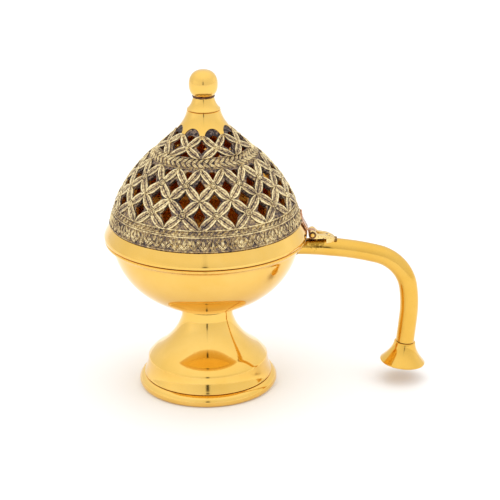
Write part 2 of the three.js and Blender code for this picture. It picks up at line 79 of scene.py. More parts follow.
def new_object(name, data):
    """A new object in the scene."""
    made = bpy.data.objects.new(name, data)
    bpy.context.scene.collection.objects.link(made)
    return made


camera = new_object("studio_camera", bpy.data.cameras.new("studio_camera"))
away = Vector((0, -cos(CAMERA_RISE), sin(CAMERA_RISE)))
camera.location = LOOK_AT + CAMERA_DISTANCE * away
aim = (-away).to_track_quat("-Z", "Y").to_matrix() @ Matrix.Rotation(CAMERA_LEAN, 3, "Z")
camera.rotation_euler = aim.to_euler()
camera.data.lens = CAMERA_LENS
camera.data.clip_start = 0.01
bpy.context.scene.camera = camera
print("camera at", tuple(round(v, 3) for v in camera.location))

# %% [markdown]
# ## Node helpers
# Every finish is a small tree of shader nodes. Short helpers keep the trees readable: they add a
# node with its settings, join a socket or set it to a plain value, and blend what comes out.

# %% Define the node helpers
def add(tree, kind, settings=None, **inputs):
    """Adds a node with its settings and inputs."""
    node = tree.nodes.new(kind)
    for name, value in (settings or {}).items():
        setattr(node, name, value)
    set_inputs(tree, node, **inputs)
    return node


def set_inputs(tree, node, **inputs):
    """Feeds a node's inputs, given by socket name, with _ for a space."""
    for name, value in inputs.items():
        feed(tree, node.inputs[name.replace("_", " ")], value)


def feed(tree, socket, value):
    """Joins an output to a socket, or gives the socket a plain value."""
    if isinstance(value, bpy.types.NodeSocket):
        tree.links.new(value, socket)
    else:
        socket.default_value = value


def calculate(tree, operation, *values):
    """A Math node with its inputs in order."""
    node = tree.nodes.new("ShaderNodeMath")
    node.operation = operation
    for socket, value in zip(node.inputs, values):
        feed(tree, socket, value)
    return node.outputs[0]


def blend_colours(tree, share, first, second, kind="MIX"):
    """Mixes two colours by a share from 0 to 1."""
    node = tree.nodes.new("ShaderNodeMix")
    node.data_type = "RGBA"
    node.blend_type = kind
    for index, value in ((0, share), (6, first), (7, second)):
        feed(tree, node.inputs[index], value)
    return node.outputs[2]


def ramp(tree, value, stops):
    """A ramp between (position, level) stops, each level a grey or a colour."""
    node = tree.nodes.new("ShaderNodeValToRGB")
    elements = node.color_ramp.elements
    while len(elements) < len(stops):
        elements.new(0.5)
    for element, (position, level) in zip(elements, stops):
        element.position = position
        element.color = level if isinstance(level, tuple) else (level, level, level, 1)
    feed(tree, node.inputs[0], value)
    return node.outputs[0]


def shader_of(name):
    """A new material, its tree and its Principled shader."""
    material = bpy.data.materials.new(name)
    material.use_nodes = True
    return material, material.node_tree, material.node_tree.nodes["Principled BSDF"]

# %% [markdown]
# ## Studio
# Polished brass shows the room more than itself, so the room is built with care: a white tent
# with soft panels all round and a narrow dark slot where the camera looks in. The tent is drawn
# in the world by direction, which keeps it out of the way of every other view. The floor is a
# pale sheet about as bright as the foot of the tent, so that no horizon shows in the metal. The
# lamps are kept out of direct reflections, so that only their light is seen.

# %% Build the tent
WHITE = (1, 1, 1, 1)
PANELS = [  # brightness by share of a turn, with the camera's slot in the middle
    (0.00, 0.95), (0.22, 0.98), (0.30, 1.14), (0.44, 1.02), (0.489, 0.94), (0.4955, 0.06),
    (0.5045, 0.06), (0.511, 0.94), (0.60, 0.98), (0.72, 1.03), (0.80, 1.14), (0.90, 1.0),
    (1.00, 0.95),
]
SLOT_FADE = [(0.40, 1.0), (0.44, 0.0), (0.62, 0.0), (0.70, 0.75), (0.88, 1.0)]
ROOF = [(0.0, 1.0), (0.45, 1.04), (0.9, 1.22)]

world = bpy.data.worlds.new("light_tent")
bpy.context.scene.world = world
world.use_nodes = True
tent = world.node_tree
tent.nodes.clear()
direction = add(tent, "ShaderNodeTexCoord").outputs["Generated"]
split = add(tent, "ShaderNodeSeparateXYZ", Vector=direction)
forwards = calculate(tent, "MULTIPLY", split.outputs["Y"], -1)
around = calculate(tent, "ARCTAN2", split.outputs["X"], forwards)
turn_share = calculate(tent, "MULTIPLY_ADD", around, 1 / tau, 0.5)
height_share = calculate(tent, "MULTIPLY_ADD", split.outputs["Z"], 0.5, 0.5)
slot_fade = ramp(tent, height_share, SLOT_FADE)
softened = blend_colours(tent, slot_fade, ramp(tent, turn_share, PANELS), WHITE)
roof = ramp(tent, split.outputs["Z"], ROOF)
tent_light = blend_colours(tent, 1.0, softened, roof, "MULTIPLY")
seen = add(tent, "ShaderNodeLightPath").outputs["Is Camera Ray"]
shown = blend_colours(tent, seen, tent_light, WHITE)
background = add(tent, "ShaderNodeBackground", Color=shown, Strength=1.0)
add(tent, "ShaderNodeOutputWorld", Surface=background.outputs[0])
bpy.context.scene.view_settings.view_transform = "Standard"
print("tent:", len(tent.nodes), "nodes")

# %% Lay the floor and hang the lamps
FLOOR_HALF = 3.0
FLOOR_COLOUR = (0.93, 0.93, 0.93, 1)
LAMPS = {  # place in metres, size in metres, watts
    "left_lamp": ((-0.9, -0.7, 1.1), 0.7, 2.0),
    "right_lamp": ((1.0, -0.3, 0.9), 0.7, 1.6),
    "top_lamp": ((0.1, 0.2, 1.4), 0.9, 2.2),
}

floor_material, floor_tree, floor_shader = shader_of("pale_floor")
set_inputs(floor_tree, floor_shader, Base_Color=FLOOR_COLOUR, Roughness=0.8)
bm = bmesh.new()
bmesh.ops.create_grid(bm, x_segments=1, y_segments=1, size=FLOOR_HALF)
floor = new_object("floor", bpy.data.meshes.new("floor"))
bm.to_mesh(floor.data)
bm.free()
floor.data.materials.append(floor_material)

middle = (cad_box[0] + cad_box[1]) / 2
for name, (place, size, watts) in LAMPS.items():
    lamp = new_object(name, bpy.data.lights.new(name, "AREA"))
    lamp.data.size = size
    lamp.data.energy = watts
    lamp.location = place
    lamp.rotation_euler = (middle - lamp.location).to_track_quat("-Z", "Y").to_euler()
    lamp.visible_glossy = False
print("lamps:", list(LAMPS))

# %% [markdown]
# ## Turning
# The foot, bowl, rim, collar and ball are turned on a lathe, so each is half an outline spun
# about the upright axis. Outlines are worked in millimetres as (radius, height), with cubic
# curves for the sweeps. A wall is the same outline moved inwards. The corners that a polishing
# mop would soften are bevelled afterwards, because a rounded edge catches the light.

# %% Define the turning helpers
MM = 0.001
AROUND = 144


def sweep(start, pull_a, pull_b, end, steps=16):
    """Points along a cubic curve between two corners of an outline, without the first."""
    knots = [Vector((r, z, 0)) for r, z in (start, pull_a, pull_b, end)]
    return [(p.x, p.y) for p in interpolate_bezier(*knots, steps + 1)[1:]]


def beside(outline, distance):
    """The outline moved sideways by a distance, to its left, with mitred corners."""
    spots = [Vector(corner) for corner in outline]
    moved = []
    for i, here in enumerate(spots):
        before = (here - spots[i - 1]).normalized() if i > 0 else None
        after = (spots[i + 1] - here).normalized() if i + 1 < len(spots) else None
        a, b = before or after, after or before
        left = Vector((-a.y - b.y, a.x + b.x))
        moved.append(tuple(here + left * distance / (1 + a.dot(b))))
    return moved


def wall(outline, thickness):
    """A closed wall of even thickness inside an outline that climbs, with a level base."""
    inside = beside(outline, thickness)
    inside[0] = (inside[0][0], outline[0][1])
    return outline + inside[::-1]


def turned(outline, closed=True, around=AROUND):
    """Spins an outline about the upright axis into a closed solid."""
    bm = bmesh.new()
    corners = [bm.verts.new((r, 0, z)) for r, z in outline]
    pairs = list(zip(corners, corners[1:]))
    if closed:
        pairs.append((corners[-1], corners[0]))
    edges = [bm.edges.new(pair) for pair in pairs]
    bmesh.ops.spin(bm, geom=corners + edges, cent=(0, 0, 0), axis=(0, 0, 1),
                   angle=tau, steps=around, use_merge=True)
    bmesh.ops.remove_doubles(bm, verts=bm.verts, dist=1e-4)
    bmesh.ops.recalc_face_normals(bm, faces=bm.faces)
    return bm


def oval(radius, height, wide, tall, sides=10):
    """An oval outline about a point, for a ring of solder or a cord."""
    angles = [tau * i / sides for i in range(sides)]
    return [(radius + wide * cos(a), height + tall * sin(a)) for a in angles]


def verts_of(made):
    """The points among what an operator has made."""
    return [item for item in made["geom"] if isinstance(item, bmesh.types.BMVert)]

# %% Define the helpers for edges and insides
def ease_edges(bm, radius, segments=3, angle=35):
    """Rounds every edge that turns by more than an angle."""
    limit = radians(angle)
    sharp = [e for e in bm.edges if e.is_manifold and e.calc_face_angle() > limit]
    bmesh.ops.bevel(bm, geom=sharp, affect="EDGES", offset=radius, offset_type="OFFSET",
                    segments=segments, profile=0.5, material=-1, clamp_overlap=True)
    return bm


def mark_inside(bm, focus, index=1):
    """Gives the second finish to the faces that look towards a point inside."""
    for face in bm.faces:
        if face.normal.dot(Vector(focus) - face.calc_center_median()) > 0:
            face.material_index = index

# %% Define how a piece is made
def make_piece(bm, name, body, finishes, nodes=(), sharp=40):
    """Turns a bmesh in millimetres into a piece that rides on a body and stands for nodes."""
    bmesh.ops.scale(bm, vec=(MM, MM, MM), verts=bm.verts)
    mesh = bpy.data.meshes.new(name)
    bm.to_mesh(mesh)
    bm.free()
    mesh.shade_smooth()
    mesh.set_sharp_from_angle(angle=radians(sharp))
    for finish in finishes:
        mesh.materials.append(finish)
    piece = new_object(name, mesh)
    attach(piece, body)
    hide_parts(*nodes)
    size = " x ".join(f"{side / MM:.1f}" for side in piece.dimensions)
    print(f"{name}: {len(mesh.polygons)} faces, {size} mm")

# %% [markdown]
# ## Shared surface effects
# Three effects come back in several finishes, so each is a node group. Lathe lines are faint
# rings, because a turned piece is scraped round its axis. Handling marks are short fine
# scratches and soft smears. Grain is the pitted skin that sand leaves on a casting.

# %% Define the effect helpers
RINGS_PER_METRE = 2600
PITS_PER_METRE = 1500


def new_group(name, inputs, outputs):
    """An empty node group with float inputs and its outputs."""
    group = bpy.data.node_groups.new(name, "ShaderNodeTree")
    for socket, value in inputs.items():
        made = group.interface.new_socket(socket, in_out="INPUT", socket_type="NodeSocketFloat")
        made.default_value = value
    for socket in outputs:
        group.interface.new_socket(socket, in_out="OUTPUT", socket_type="NodeSocketFloat")
    return group, add(group, "NodeGroupInput"), add(group, "NodeGroupOutput")


def scaled_place(tree, x, y, z):
    """Object coordinates stretched by three factors."""
    place = add(tree, "ShaderNodeTexCoord").outputs["Object"]
    return add(tree, "ShaderNodeMapping", Vector=place, Scale=(x, y, z)).outputs[0]

# %% Make the lathe lines
def lathe_lines():
    """Rings round the upright axis: a pattern of the height and the distance from the axis."""
    group, given, result = new_group("lathe_lines", {"Fineness": 1.0}, ["Height"])
    place = add(group, "ShaderNodeTexCoord").outputs["Object"]
    parts = add(group, "ShaderNodeSeparateXYZ", Vector=place)
    flat = add(group, "ShaderNodeCombineXYZ", X=parts.outputs["X"], Y=parts.outputs["Y"])
    radius = add(group, "ShaderNodeVectorMath", {"operation": "LENGTH"}, Vector=flat.outputs[0])
    along = calculate(group, "ADD", parts.outputs["Z"], radius.outputs["Value"])
    fineness = calculate(group, "MULTIPLY", given.outputs[0], RINGS_PER_METRE)
    line = calculate(group, "MULTIPLY", along, fineness)
    rings = add(group, "ShaderNodeTexNoise", {"noise_dimensions": "1D"}, W=line, Detail=3.0)
    set_inputs(group, result, Height=rings.outputs[0])
    return group

# %% Make the handling marks
def handling_marks():
    """Short scratches and soft smears, as two masks from 0 to 1."""
    group, given, result = new_group("handling_marks", {"Size": 1.0}, ["Scratches", "Smears"])
    size = given.outputs[0]
    scratches = None
    for stretch in ((900, 160, 160), (170, 800, 220), (220, 190, 1000)):
        fine = add(group, "ShaderNodeTexNoise", Vector=scaled_place(group, *stretch),
                   Scale=size, Detail=2.0, Distortion=0.6)
        line = ramp(group, fine.outputs[0], [(0.0, 0.0), (0.66, 0.0), (0.74, 1.0)])
        scratches = line if scratches is None else calculate(group, "MAXIMUM", scratches, line)
    cloud = add(group, "ShaderNodeTexNoise", Vector=scaled_place(group, 42, 42, 42), Scale=size,
                Detail=5.0, Roughness=0.6)
    smears = ramp(group, cloud.outputs[0], [(0.35, 0.0), (0.7, 1.0)])
    set_inputs(group, result, Scratches=scratches, Smears=smears)
    return group

# %% Make the casting grain
def casting_grain():
    """Pits and lumps of a sand casting: a height, and a speckle from 0 to 1."""
    group, given, result = new_group("casting_grain", {"Fineness": 1.0}, ["Height", "Speckle"])
    scale = calculate(group, "MULTIPLY", given.outputs[0], PITS_PER_METRE)
    place = scaled_place(group, 1, 1, 1)
    pits = add(group, "ShaderNodeTexVoronoi", Vector=place, Scale=scale)
    lumps = add(group, "ShaderNodeTexNoise", Vector=place,
                Scale=calculate(group, "MULTIPLY", scale, 0.45), Detail=4.0, Roughness=0.65)
    height = calculate(group, "MULTIPLY_ADD", pits.outputs["Distance"], 0.6, lumps.outputs[0])
    speckle = ramp(group, lumps.outputs[0], [(0.36, 0.0), (0.64, 1.0)])
    set_inputs(group, result, Height=height, Speckle=speckle)
    return group


LATHE_LINES = lathe_lines()
HANDLING_MARKS = handling_marks()
CASTING_GRAIN = casting_grain()
print("groups:", [group.name for group in bpy.data.node_groups])

# %% [markdown]
# ## Polished brass
# Brass reflects warm light straight on and paler light at a glancing angle. The lacquered mirror
# finish is one metal colour with slight drifts of tone, a very low roughness, and hardly visible
# lathe lines and scratches in the bump. The drawn tube is a deeper tone without lathe lines, and
# near its root it carries a painted shade: the shadow and reflection of the hinge strap above it.

# %% Mix the polished finishes
LACQUER = 0.2
# painted shade: the colour of the hinge strap's shadow and reflection on the tube
STRAP_SHADE = (0.36, 0.19, 0.015, 1)


def effect(tree, group, value):
    """The outputs of a copy of an effect group, in order, with its one input set."""
    node = add(tree, "ShaderNodeGroup", {"node_tree": group})
    node.inputs[0].default_value = value
    return node.outputs[:]


def bumped(tree, height, strength, distance):
    """A Bump node's normal, for a height in shares of a distance in metres."""
    bump = add(tree, "ShaderNodeBump", Height=height, Strength=strength, Distance=distance)
    return bump.outputs[0]


def polished_brass(name, bright, deep, rough, lathe):
    """Mirror brass between two tones, with lathe lines of the given strength."""
    material, tree, shader = shader_of(name)
    scratches, smears = effect(tree, HANDLING_MARKS, 1.0)
    gloss = calculate(tree, "MULTIPLY_ADD", smears, 0.05, rough)
    height = scratches
    if lathe:
        [lines] = effect(tree, LATHE_LINES, 1.0)
        cuts = calculate(tree, "MULTIPLY", scratches, -0.3)
        height = calculate(tree, "MULTIPLY_ADD", lines, lathe, cuts)
    set_inputs(tree, shader, Base_Color=blend_colours(tree, smears, bright, deep), Metallic=1.0,
               Roughness=calculate(tree, "MULTIPLY_ADD", scratches, 0.08, gloss),
               Coat_Weight=LACQUER, Coat_Roughness=0.05,
               Normal=bumped(tree, height, 0.12, 0.00004))
    return material

# %% Paint the strap's shade on a finish and mix the brasses
def painted_strap_shade(material, centre, reach):
    """Paints a shade on a finish near a point in metres, with a ragged edge: the shadow and
    reflection of the hinge strap.
    """
    tree = material.node_tree
    colour = tree.nodes["Principled BSDF"].inputs["Base Color"]
    place = add(tree, "ShaderNodeTexCoord").outputs["Object"]
    away = add(tree, "ShaderNodeVectorMath", {"operation": "DISTANCE"}, Vector=place)
    away.inputs[1].default_value = centre
    speckle = effect(tree, CASTING_GRAIN, 0.9)[1]
    ragged = calculate(tree, "MULTIPLY_ADD", speckle, reach * 0.35, away.outputs["Value"])
    share = ramp(tree, calculate(tree, "DIVIDE", ragged, reach), [(0.86, 1.0), (1.0, 0.0)])
    unshaded = colour.links[0].from_socket
    feed(tree, colour, blend_colours(tree, share, unshaded, STRAP_SHADE))
    return material


TURNED_TONES = ((0.87, 0.56, 0.145, 1), (0.83, 0.505, 0.10, 1), 0.045, 0.5)
TURNED_BRASS = polished_brass("turned_brass", *TURNED_TONES)
DRAWN_TONES = ((0.80, 0.485, 0.095, 1), (0.76, 0.43, 0.06, 1), 0.10, 0)
DRAWN_BRASS = polished_brass("drawn_brass", *DRAWN_TONES)
print("finishes:", TURNED_BRASS.name, DRAWN_BRASS.name)

# %% [markdown]
# ## Foot
# The foot is a spun trumpet with a sharp shoulder above a short skirt, standing on a heavier
# turned ring. The thin dark line between them is a real gap, which is better than a painted one
# because it keeps its shadow from every side. A flat disc closes the ring underneath.

# %% Turn the foot
RING_BORE = 33.0
FOOT_WALL = 1.8

ring_outline = [(RING_BORE, 0), (37.1, 0), (37.4, 0.3)]
ring_outline += sweep(ring_outline[-1], (39.2, 1.3), (38.9, 4.9), (36.5, 5.9), 14)
ring_outline += [(36.1, 6.1), (RING_BORE, 6.1)]
make_piece(ease_edges(turned(ring_outline), 0.2), "foot_ring_turned", "censer",
           [TURNED_BRASS], ["foot_ring"])

skirt = [(35.4, 6.35), (35.6, 6.6), (35.55, 7.0)]
skirt += sweep(skirt[-1], (34.3, 9.6), (33.6, 12.5), (33.2, 16.3), 10)
hip = sweep(skirt[-1], (32.2, 17.6), (30.7, 19.2), (28.7, 20.6), 10)
trumpet = sweep(hip[-1], (23.0, 24.4), (16.0, 31.5), (14.1, 40.5), 24)
foot_outline = skirt + hip + trumpet + [(14.0, 44.8), (3.3, 44.8)]
foot_solid = turned(wall(foot_outline, FOOT_WALL))
make_piece(ease_edges(foot_solid, 0.25), "foot_spun", "censer",
           [TURNED_BRASS], ["foot"])

# %% [markdown]
# ## Bowl
# The bowl is a deep spun cup with a rolled lip that carries the lid. Its inside is never
# polished: charcoal and resin have left a dark amber film on it. The same solid carries two
# finishes, and the faces that look towards the middle of the bowl take the smoky one.

# %% Mix the smoky finish
def smoked_brass():
    """Brass under a brown film, thicker in patches, still shining through where it is thin."""
    material, tree, shader = shader_of("smoked_brass")
    smears = effect(tree, HANDLING_MARKS, 1.4)[1]
    height, speckle = effect(tree, CASTING_GRAIN, 0.35)
    film = blend_colours(tree, smears, (0.78, 0.34, 0.04, 1), (0.30, 0.11, 0.015, 1))
    set_inputs(tree, shader, Metallic=1.0,
               Base_Color=blend_colours(tree, speckle, film, (0.90, 0.46, 0.07, 1)),
               Roughness=calculate(tree, "MULTIPLY_ADD", smears, 0.16, 0.16),
               Normal=bumped(tree, height, 0.25, 0.0003))
    return material


SMOKED_BRASS = smoked_brass()
print("finish:", SMOKED_BRASS.name)
POLISHED_AND_SMOKED = [TURNED_BRASS, SMOKED_BRASS]

# %% Turn the bowl
BOWL_WALL = 1.8
BOWL_FOCUS = (0, 0, 84)

bowl_side = [(14.0, 45.1)] + sweep((14.0, 45.1), (34, 53), (47, 62), (51.4, 82.6), 40)
bowl_inside = beside([(3.3, 45.1)] + bowl_side, BOWL_WALL)[::-1]
lip = [(52.0, 83.3), (53.9, 84.3)]
lip += sweep(lip[-1], (55.3, 84.7), (55.6, 85.6), (54.9, 86.2), 8)
lip += [(54.6, 86.3), (bowl_inside[0][0], 86.3)]
bowl_outline = [(3.3, 45.1)] + bowl_side + lip + bowl_inside
bowl_solid = ease_edges(turned(bowl_outline), 0.2)
mark_inside(bowl_solid, BOWL_FOCUS)
make_piece(bowl_solid, "bowl_spun", "censer", POLISHED_AND_SMOKED, ["bowl"])

# %% Turn the bolt that holds bowl and foot together
bolt_outline = [(0, 34), (3, 34), (3, 47.2), (6, 47.2), (6, 48.0)]
bolt_outline += sweep(bolt_outline[-1], (6, 49.3), (3, 50.2), (0, 50.2), 8)
make_piece(turned(bolt_outline, closed=False, around=48), "bowl_bolt_turned", "censer",
           [SMOKED_BRASS], ["bowl_bolt"])

# %% [markdown]
# ## Lid rim
# A heavy polished ring is pressed on the bottom of the dome. Its round brow overhangs the
# bowl's lip by a hair, and a short skirt inside it drops into the bowl and centres the lid.

# %% Turn the lid rim
rim_outline = [(47.7, 84.3), (49.3, 84.3), (49.3, 86.7), (54.9, 86.7), (55.5, 87.1), (55.6, 88.3)]
rim_outline += sweep(rim_outline[-1], (55.1, 90.2), (53.3, 92.9), (52.3, 94.9), 16)
rim_outline += [(52.0, 95.15), (49.7, 95.15), (47.7, 91.2)]
rim_solid = ease_edges(turned(rim_outline), 0.2)
mark_inside(rim_solid, (0, 0, 90))
make_piece(rim_solid, "lid_rim_turned", "lid", POLISHED_AND_SMOKED, ["lid_rim"])

# %% [markdown]
# ## Handle
# The handle is drawn tube, bent cold over a former: nearly straight out of the bowl, then a
# tight turn down, and straight again to the trumpet end. The quickest true way to make it is to
# spin a straight tube and then bend its points along the centreline, so that its wall and taper
# stay right. Its root is filed to the bowl's side and brazed, which leaves a brown seam, dark
# partly from the braze and partly as painted shade where the tube meets the bowl.

# %% Draw the handle's centreline
TUBE_START = (50.0, 79.5)
TUBE_RISE = radians(2.5)
TUBE_SWEEPS = [(44.5, 17.0), (27.8, 67.0), (18.0, 14.2), (14.6, 0.0)]
TUBE_RADIUS = 5.1
ROOT_RADIUS = 4.35
TAPER_LENGTH = 18.0
TUBE_WALL = 0.9
TUBE_LENGTH = sum(length for length, turn in TUBE_SWEEPS)


def along_handle(distance):
    """Place and downward slope of the handle's centreline after a distance along it."""
    x, z = TUBE_START
    slope = -TUBE_RISE
    for i, (length, turn) in enumerate(TUBE_SWEEPS):
        last = i == len(TUBE_SWEEPS) - 1
        travel = distance if last else min(distance, length)
        bend = radians(turn) * travel / length
        chord = travel if bend == 0 else 2 * travel * sin(bend / 2) / bend
        x += chord * cos(slope + bend / 2)
        z -= chord * sin(slope + bend / 2)
        slope += bend
        distance -= travel
        if distance <= 0:
            break
    return x, z, slope


def bend_onto_handle(bm):
    """Carries a piece turned about the upright axis onto the handle, height becoming distance."""
    for vert in bm.verts:
        out, side, distance = vert.co
        x, z, slope = along_handle(distance)
        vert.co = (x + out * sin(slope), -side, z + out * cos(slope))
    bmesh.ops.recalc_face_normals(bm, faces=bm.faces)
    return bm

# %% Measure the bowl and file a root to it
def locate(values, value):
    """The step of a rising list in which a value falls, and how far through it, from 0 to 1."""
    step = min(max(bisect_right(values, value), 1), len(values) - 1)
    return step, (value - values[step - 1]) / (values[step] - values[step - 1])


def bowl_radius_at(height):
    """Radius of the bowl's outside at a height."""
    step, share = locate([z for r, z in bowl_side], height)
    below, above = bowl_side[step - 1][0], bowl_side[step][0]
    return below + (above - below) * share


def file_to_bowl(bm, depth):
    """Moves points that reach too far into the bowl's wall out to a depth under its surface."""
    root = [vert for vert in bm.verts if vert.co.x < bowl_side[-1][0]]
    for vert in root:
        filed = bowl_radius_at(vert.co.z) - depth
        vert.co.x = max(vert.co.x, sqrt(filed ** 2 - vert.co.y ** 2))
    return bm

# %% Make the tube
ROOT_REACH = -2.5
TUBE_STEPS = 72
tube_outside = []
for i in range(TUBE_STEPS + 1):
    distance = ROOT_REACH + (TUBE_LENGTH - ROOT_REACH) * i / TUBE_STEPS
    share = min(1.0, max(0.0, distance) / TAPER_LENGTH)
    tube_outside.append((ROOT_RADIUS + (TUBE_RADIUS - ROOT_RADIUS) * share, distance))
tube_inside = [(radius - TUBE_WALL, distance) for radius, distance in tube_outside][::-1]
tube_solid = bend_onto_handle(turned(tube_outside + tube_inside, around=48))
file_to_bowl(tube_solid, 1.0)
# the tube gets a painted shade under the hinge strap, standing in for the strap's shadow and
# reflection
TUBE_BRASS = painted_strap_shade(polished_brass("tube_brass", *DRAWN_TONES), (0.0595, 0, 0.0862), 0.0095)
make_piece(tube_solid, "handle_tube_bent", "censer", [TUBE_BRASS], ["handle_tube"])

# %% Braze the root
def dark_grainy_finish(name, dark_part, metal):
    """Dull metal speckled with a dark colour: brown solder whose dark crust is partly painted shade
    in its joint, or a dark ring.
    """
    material, tree, shader = shader_of(name)
    height, speckle = effect(tree, CASTING_GRAIN, 0.8)
    set_inputs(tree, shader, Base_Color=blend_colours(tree, speckle, dark_part, metal),
               Metallic=0.85, Roughness=0.42, Normal=bumped(tree, height, 0.7, 0.0004))
    return material


# partly painted shade: the dark braze also stands in for the shade where the handle meets the bowl
# and where the hinge leaf meets the tube
BRAZE_AND_SHADE = dark_grainy_finish("dark_grainy_finish", (0.10, 0.045, 0.012, 1), (0.52, 0.30, 0.08, 1))
# a dark finish for rings: at the finial partly flux and partly painted shade under the ball, and on
# the ends of the hinge barrel
DARK_RING_FINISH = dark_grainy_finish("dark_ring_finish", (0.02, 0.008, 0.006, 1), (0.22, 0.10, 0.05, 1))
FILLET = 0.75
# the braze fillet at the root is real; its dark colour is partly painted shade where tube and bowl
# meet
fillet = bend_onto_handle(turned(oval(ROOT_RADIUS - 0.3, 0, FILLET, FILLET), around=48))
for vert in fillet.verts:
    reach = sqrt(bowl_radius_at(vert.co.z) ** 2 - vert.co.y ** 2)
    lump = 0.25 * noise.noise(vert.co * 0.9)
    vert.co.x += reach - TUBE_START[0] + lump
make_piece(fillet, "handle_braze", "censer", [BRAZE_AND_SHADE])

# %% Turn the trumpet end
bell_start = TUBE_LENGTH + 0.3
bell_end = bell_start + 12.4
bell_outside = [(5.3, bell_start), (5.8, bell_start + 0.15), (5.95, bell_start + 0.5)]
bell_outside += sweep(bell_outside[-1], (6.6, bell_start + 5.4), (9.6, bell_start + 8.4),
                      (12.55, bell_end - 0.75), 18)
bell_outside += [(12.6, bell_end - 0.35), (12.4, bell_end)]
bell_mouth = [(11.5, bell_end)]
bell_mouth += sweep(bell_mouth[-1], (9.0, bell_end - 3.0), (6.6, bell_end - 5.4),
                    (4.6, bell_start + 1), 14)
bell_outline = bell_outside + bell_mouth + [(2.9, bell_start + 0.4), (2.9, bell_start - 8)]
bell_outline += [(3.9, bell_start - 8), (3.9, bell_start)]
bell_solid = bend_onto_handle(turned(bell_outline, around=96))
make_piece(ease_edges(bell_solid, 0.12), "handle_bell_turned", "censer",
           [DRAWN_BRASS], ["handle_bell"])

# %% [markdown]
# ## The dome's surface
# All of the ornament follows the dome, so it needs a way to say "so far round and so far up".
# Azimuth is in degrees from the front towards the handle, and climb is the distance in
# millimetres up the dome's side. A flat motif is drawn with x across, y up and z outwards, and
# is then laid on the dome by bending each point to its place.

# %% Measure the dome's side
dome_side = [(52.2, 95.4)]
dome_side += sweep(dome_side[-1], (49.5, 108), (42, 122), (29.2, 133.6), 40)
dome_side += sweep(dome_side[-1], (21.5, 140.6), (10.5, 148.5), (8.7, 158.1), 40)
climbs = [0.0]
for (r0, z0), (r1, z1) in zip(dome_side, dome_side[1:]):
    climbs.append(climbs[-1] + hypot(r1 - r0, z1 - z0))
print(f"the dome's side is {climbs[-1]:.1f} mm long")


def side_at(climb):
    """Radius and height of the dome's side at a climb, and the way out from it as (out, up)."""
    step, share = locate(climbs, climb)
    (r0, z0), (r1, z1) = dome_side[step - 1], dome_side[step]
    run = climbs[step] - climbs[step - 1]
    return r0 + (r1 - r0) * share, z0 + (z1 - z0) * share, (z1 - z0) / run, (r0 - r1) / run


def climb_to(height):
    """Climb at which the dome's side reaches a height."""
    step, share = locate([z for r, z in dome_side], height)
    return climbs[step - 1] + share * (climbs[step] - climbs[step - 1])

# %% Bend points and motifs onto the dome
def dome_spot(azimuth, climb, lift=0.0):
    """The point at an azimuth and climb, lifted off the surface."""
    radius, height, out, up = side_at(climb)
    angle = radians(azimuth)
    radius += out * lift
    return Vector((radius * sin(angle), -radius * cos(angle), height + up * lift))


def lay(bm, motif, azimuth, climb, tilt=0.0, size=(1, 1, 1)):
    """Adds a copy of a flat motif, turned and stretched in its plane, bent onto the dome."""
    first = len(bm.verts)
    bm.from_mesh(motif)
    bm.verts.ensure_lookup_table()
    radius = side_at(climb)[0]
    turn = Matrix.Rotation(radians(tilt), 3, "Z") @ Matrix.Diagonal(size)
    for vert in bm.verts[first:]:
        x, y, lift = turn @ vert.co
        vert.co = dome_spot(azimuth + degrees(x / radius), climb + y, lift)


def lay_between(bm, motif, start, end, width, trim=(0, 0)):
    """Lays a motif that is one unit long from a start to an end, each an (azimuth, climb)."""
    radius = side_at((start[1] + end[1]) / 2)[0]
    turn, rise = end[0] - start[0], end[1] - start[1]
    across = radians(turn) * radius
    length = hypot(across, rise)
    low, high = trim[0] / length, 1 - trim[1] / length
    middle = (low + high) / 2
    lay(bm, motif, start[0] + turn * middle, start[1] + rise * middle,
        degrees(atan2(rise, across)), (length * (high - low), width, 1))

# %% [markdown]
# ## Chased brass
# The dome is cast, then chased with punches, dipped in a dark patina and rubbed with a cloth, so
# the ridges come up straw yellow and the hollows stay grey brown. A rub value is stored on every
# point of the relief, 0 in a hollow and 1 on a ridge, and it is lowered towards the bottom of the
# dome as painted shade. The material reads it, breaks it up with casting grain, and uses it for
# colour, roughness and metal together.

# %% Mix the chased finish
PATINA = [
    (0.0, (0.03, 0.02, 0.02, 1)), (0.2, (0.19, 0.14, 0.12, 1)), (0.42, (0.40, 0.27, 0.13, 1)),
    (0.6, (0.62, 0.48, 0.25, 1)), (0.85, (0.96, 0.81, 0.47, 1)),
]


def chased_brass():
    """Patina in the hollows and rubbed metal on the ridges."""
    material, tree, shader = shader_of("chased_brass")
    rub_and_shade = add(tree, "ShaderNodeAttribute", {"attribute_name": "rub_and_shade"}).outputs["Fac"]
    height, speckle = effect(tree, CASTING_GRAIN, 1.3)
    smears = effect(tree, HANDLING_MARKS, 2.2)[1]
    broken = calculate(tree, "MULTIPLY_ADD", speckle, 0.62, -0.3)
    drift = calculate(tree, "MULTIPLY_ADD", smears, 0.4, -0.19)
    worn = calculate(tree, "ADD", calculate(tree, "ADD", rub_and_shade, broken), drift)
    set_inputs(tree, shader, Base_Color=ramp(tree, worn, PATINA),
               Metallic=ramp(tree, worn, [(0.0, 0.55), (0.6, 1.0)]),
               Roughness=ramp(tree, worn, [(0.0, 0.62), (0.5, 0.42), (1.0, 0.26)]),
               Normal=bumped(tree, height, 0.55, 0.00035))
    return material


CHASED_BRASS = chased_brass()
print("finish:", CHASED_BRASS.name)

# %% [markdown]
# ## Ornament motifs
# Three small motifs make nearly all of the relief: a petal with a raised border and a middle
# groove, a slim leaf, and a round boss with a ring. Each is a grid or an outline that is pushed
# into shape, given sides that sink into the dome, and closed underneath.

# %% Emboss a motif
SINK = 0.5


def keep(bm, name):
    """Stores a finished motif as a mesh to be copied."""
    mesh = bpy.data.meshes.new(name)
    bm.to_mesh(mesh)
    bm.free()
    return mesh


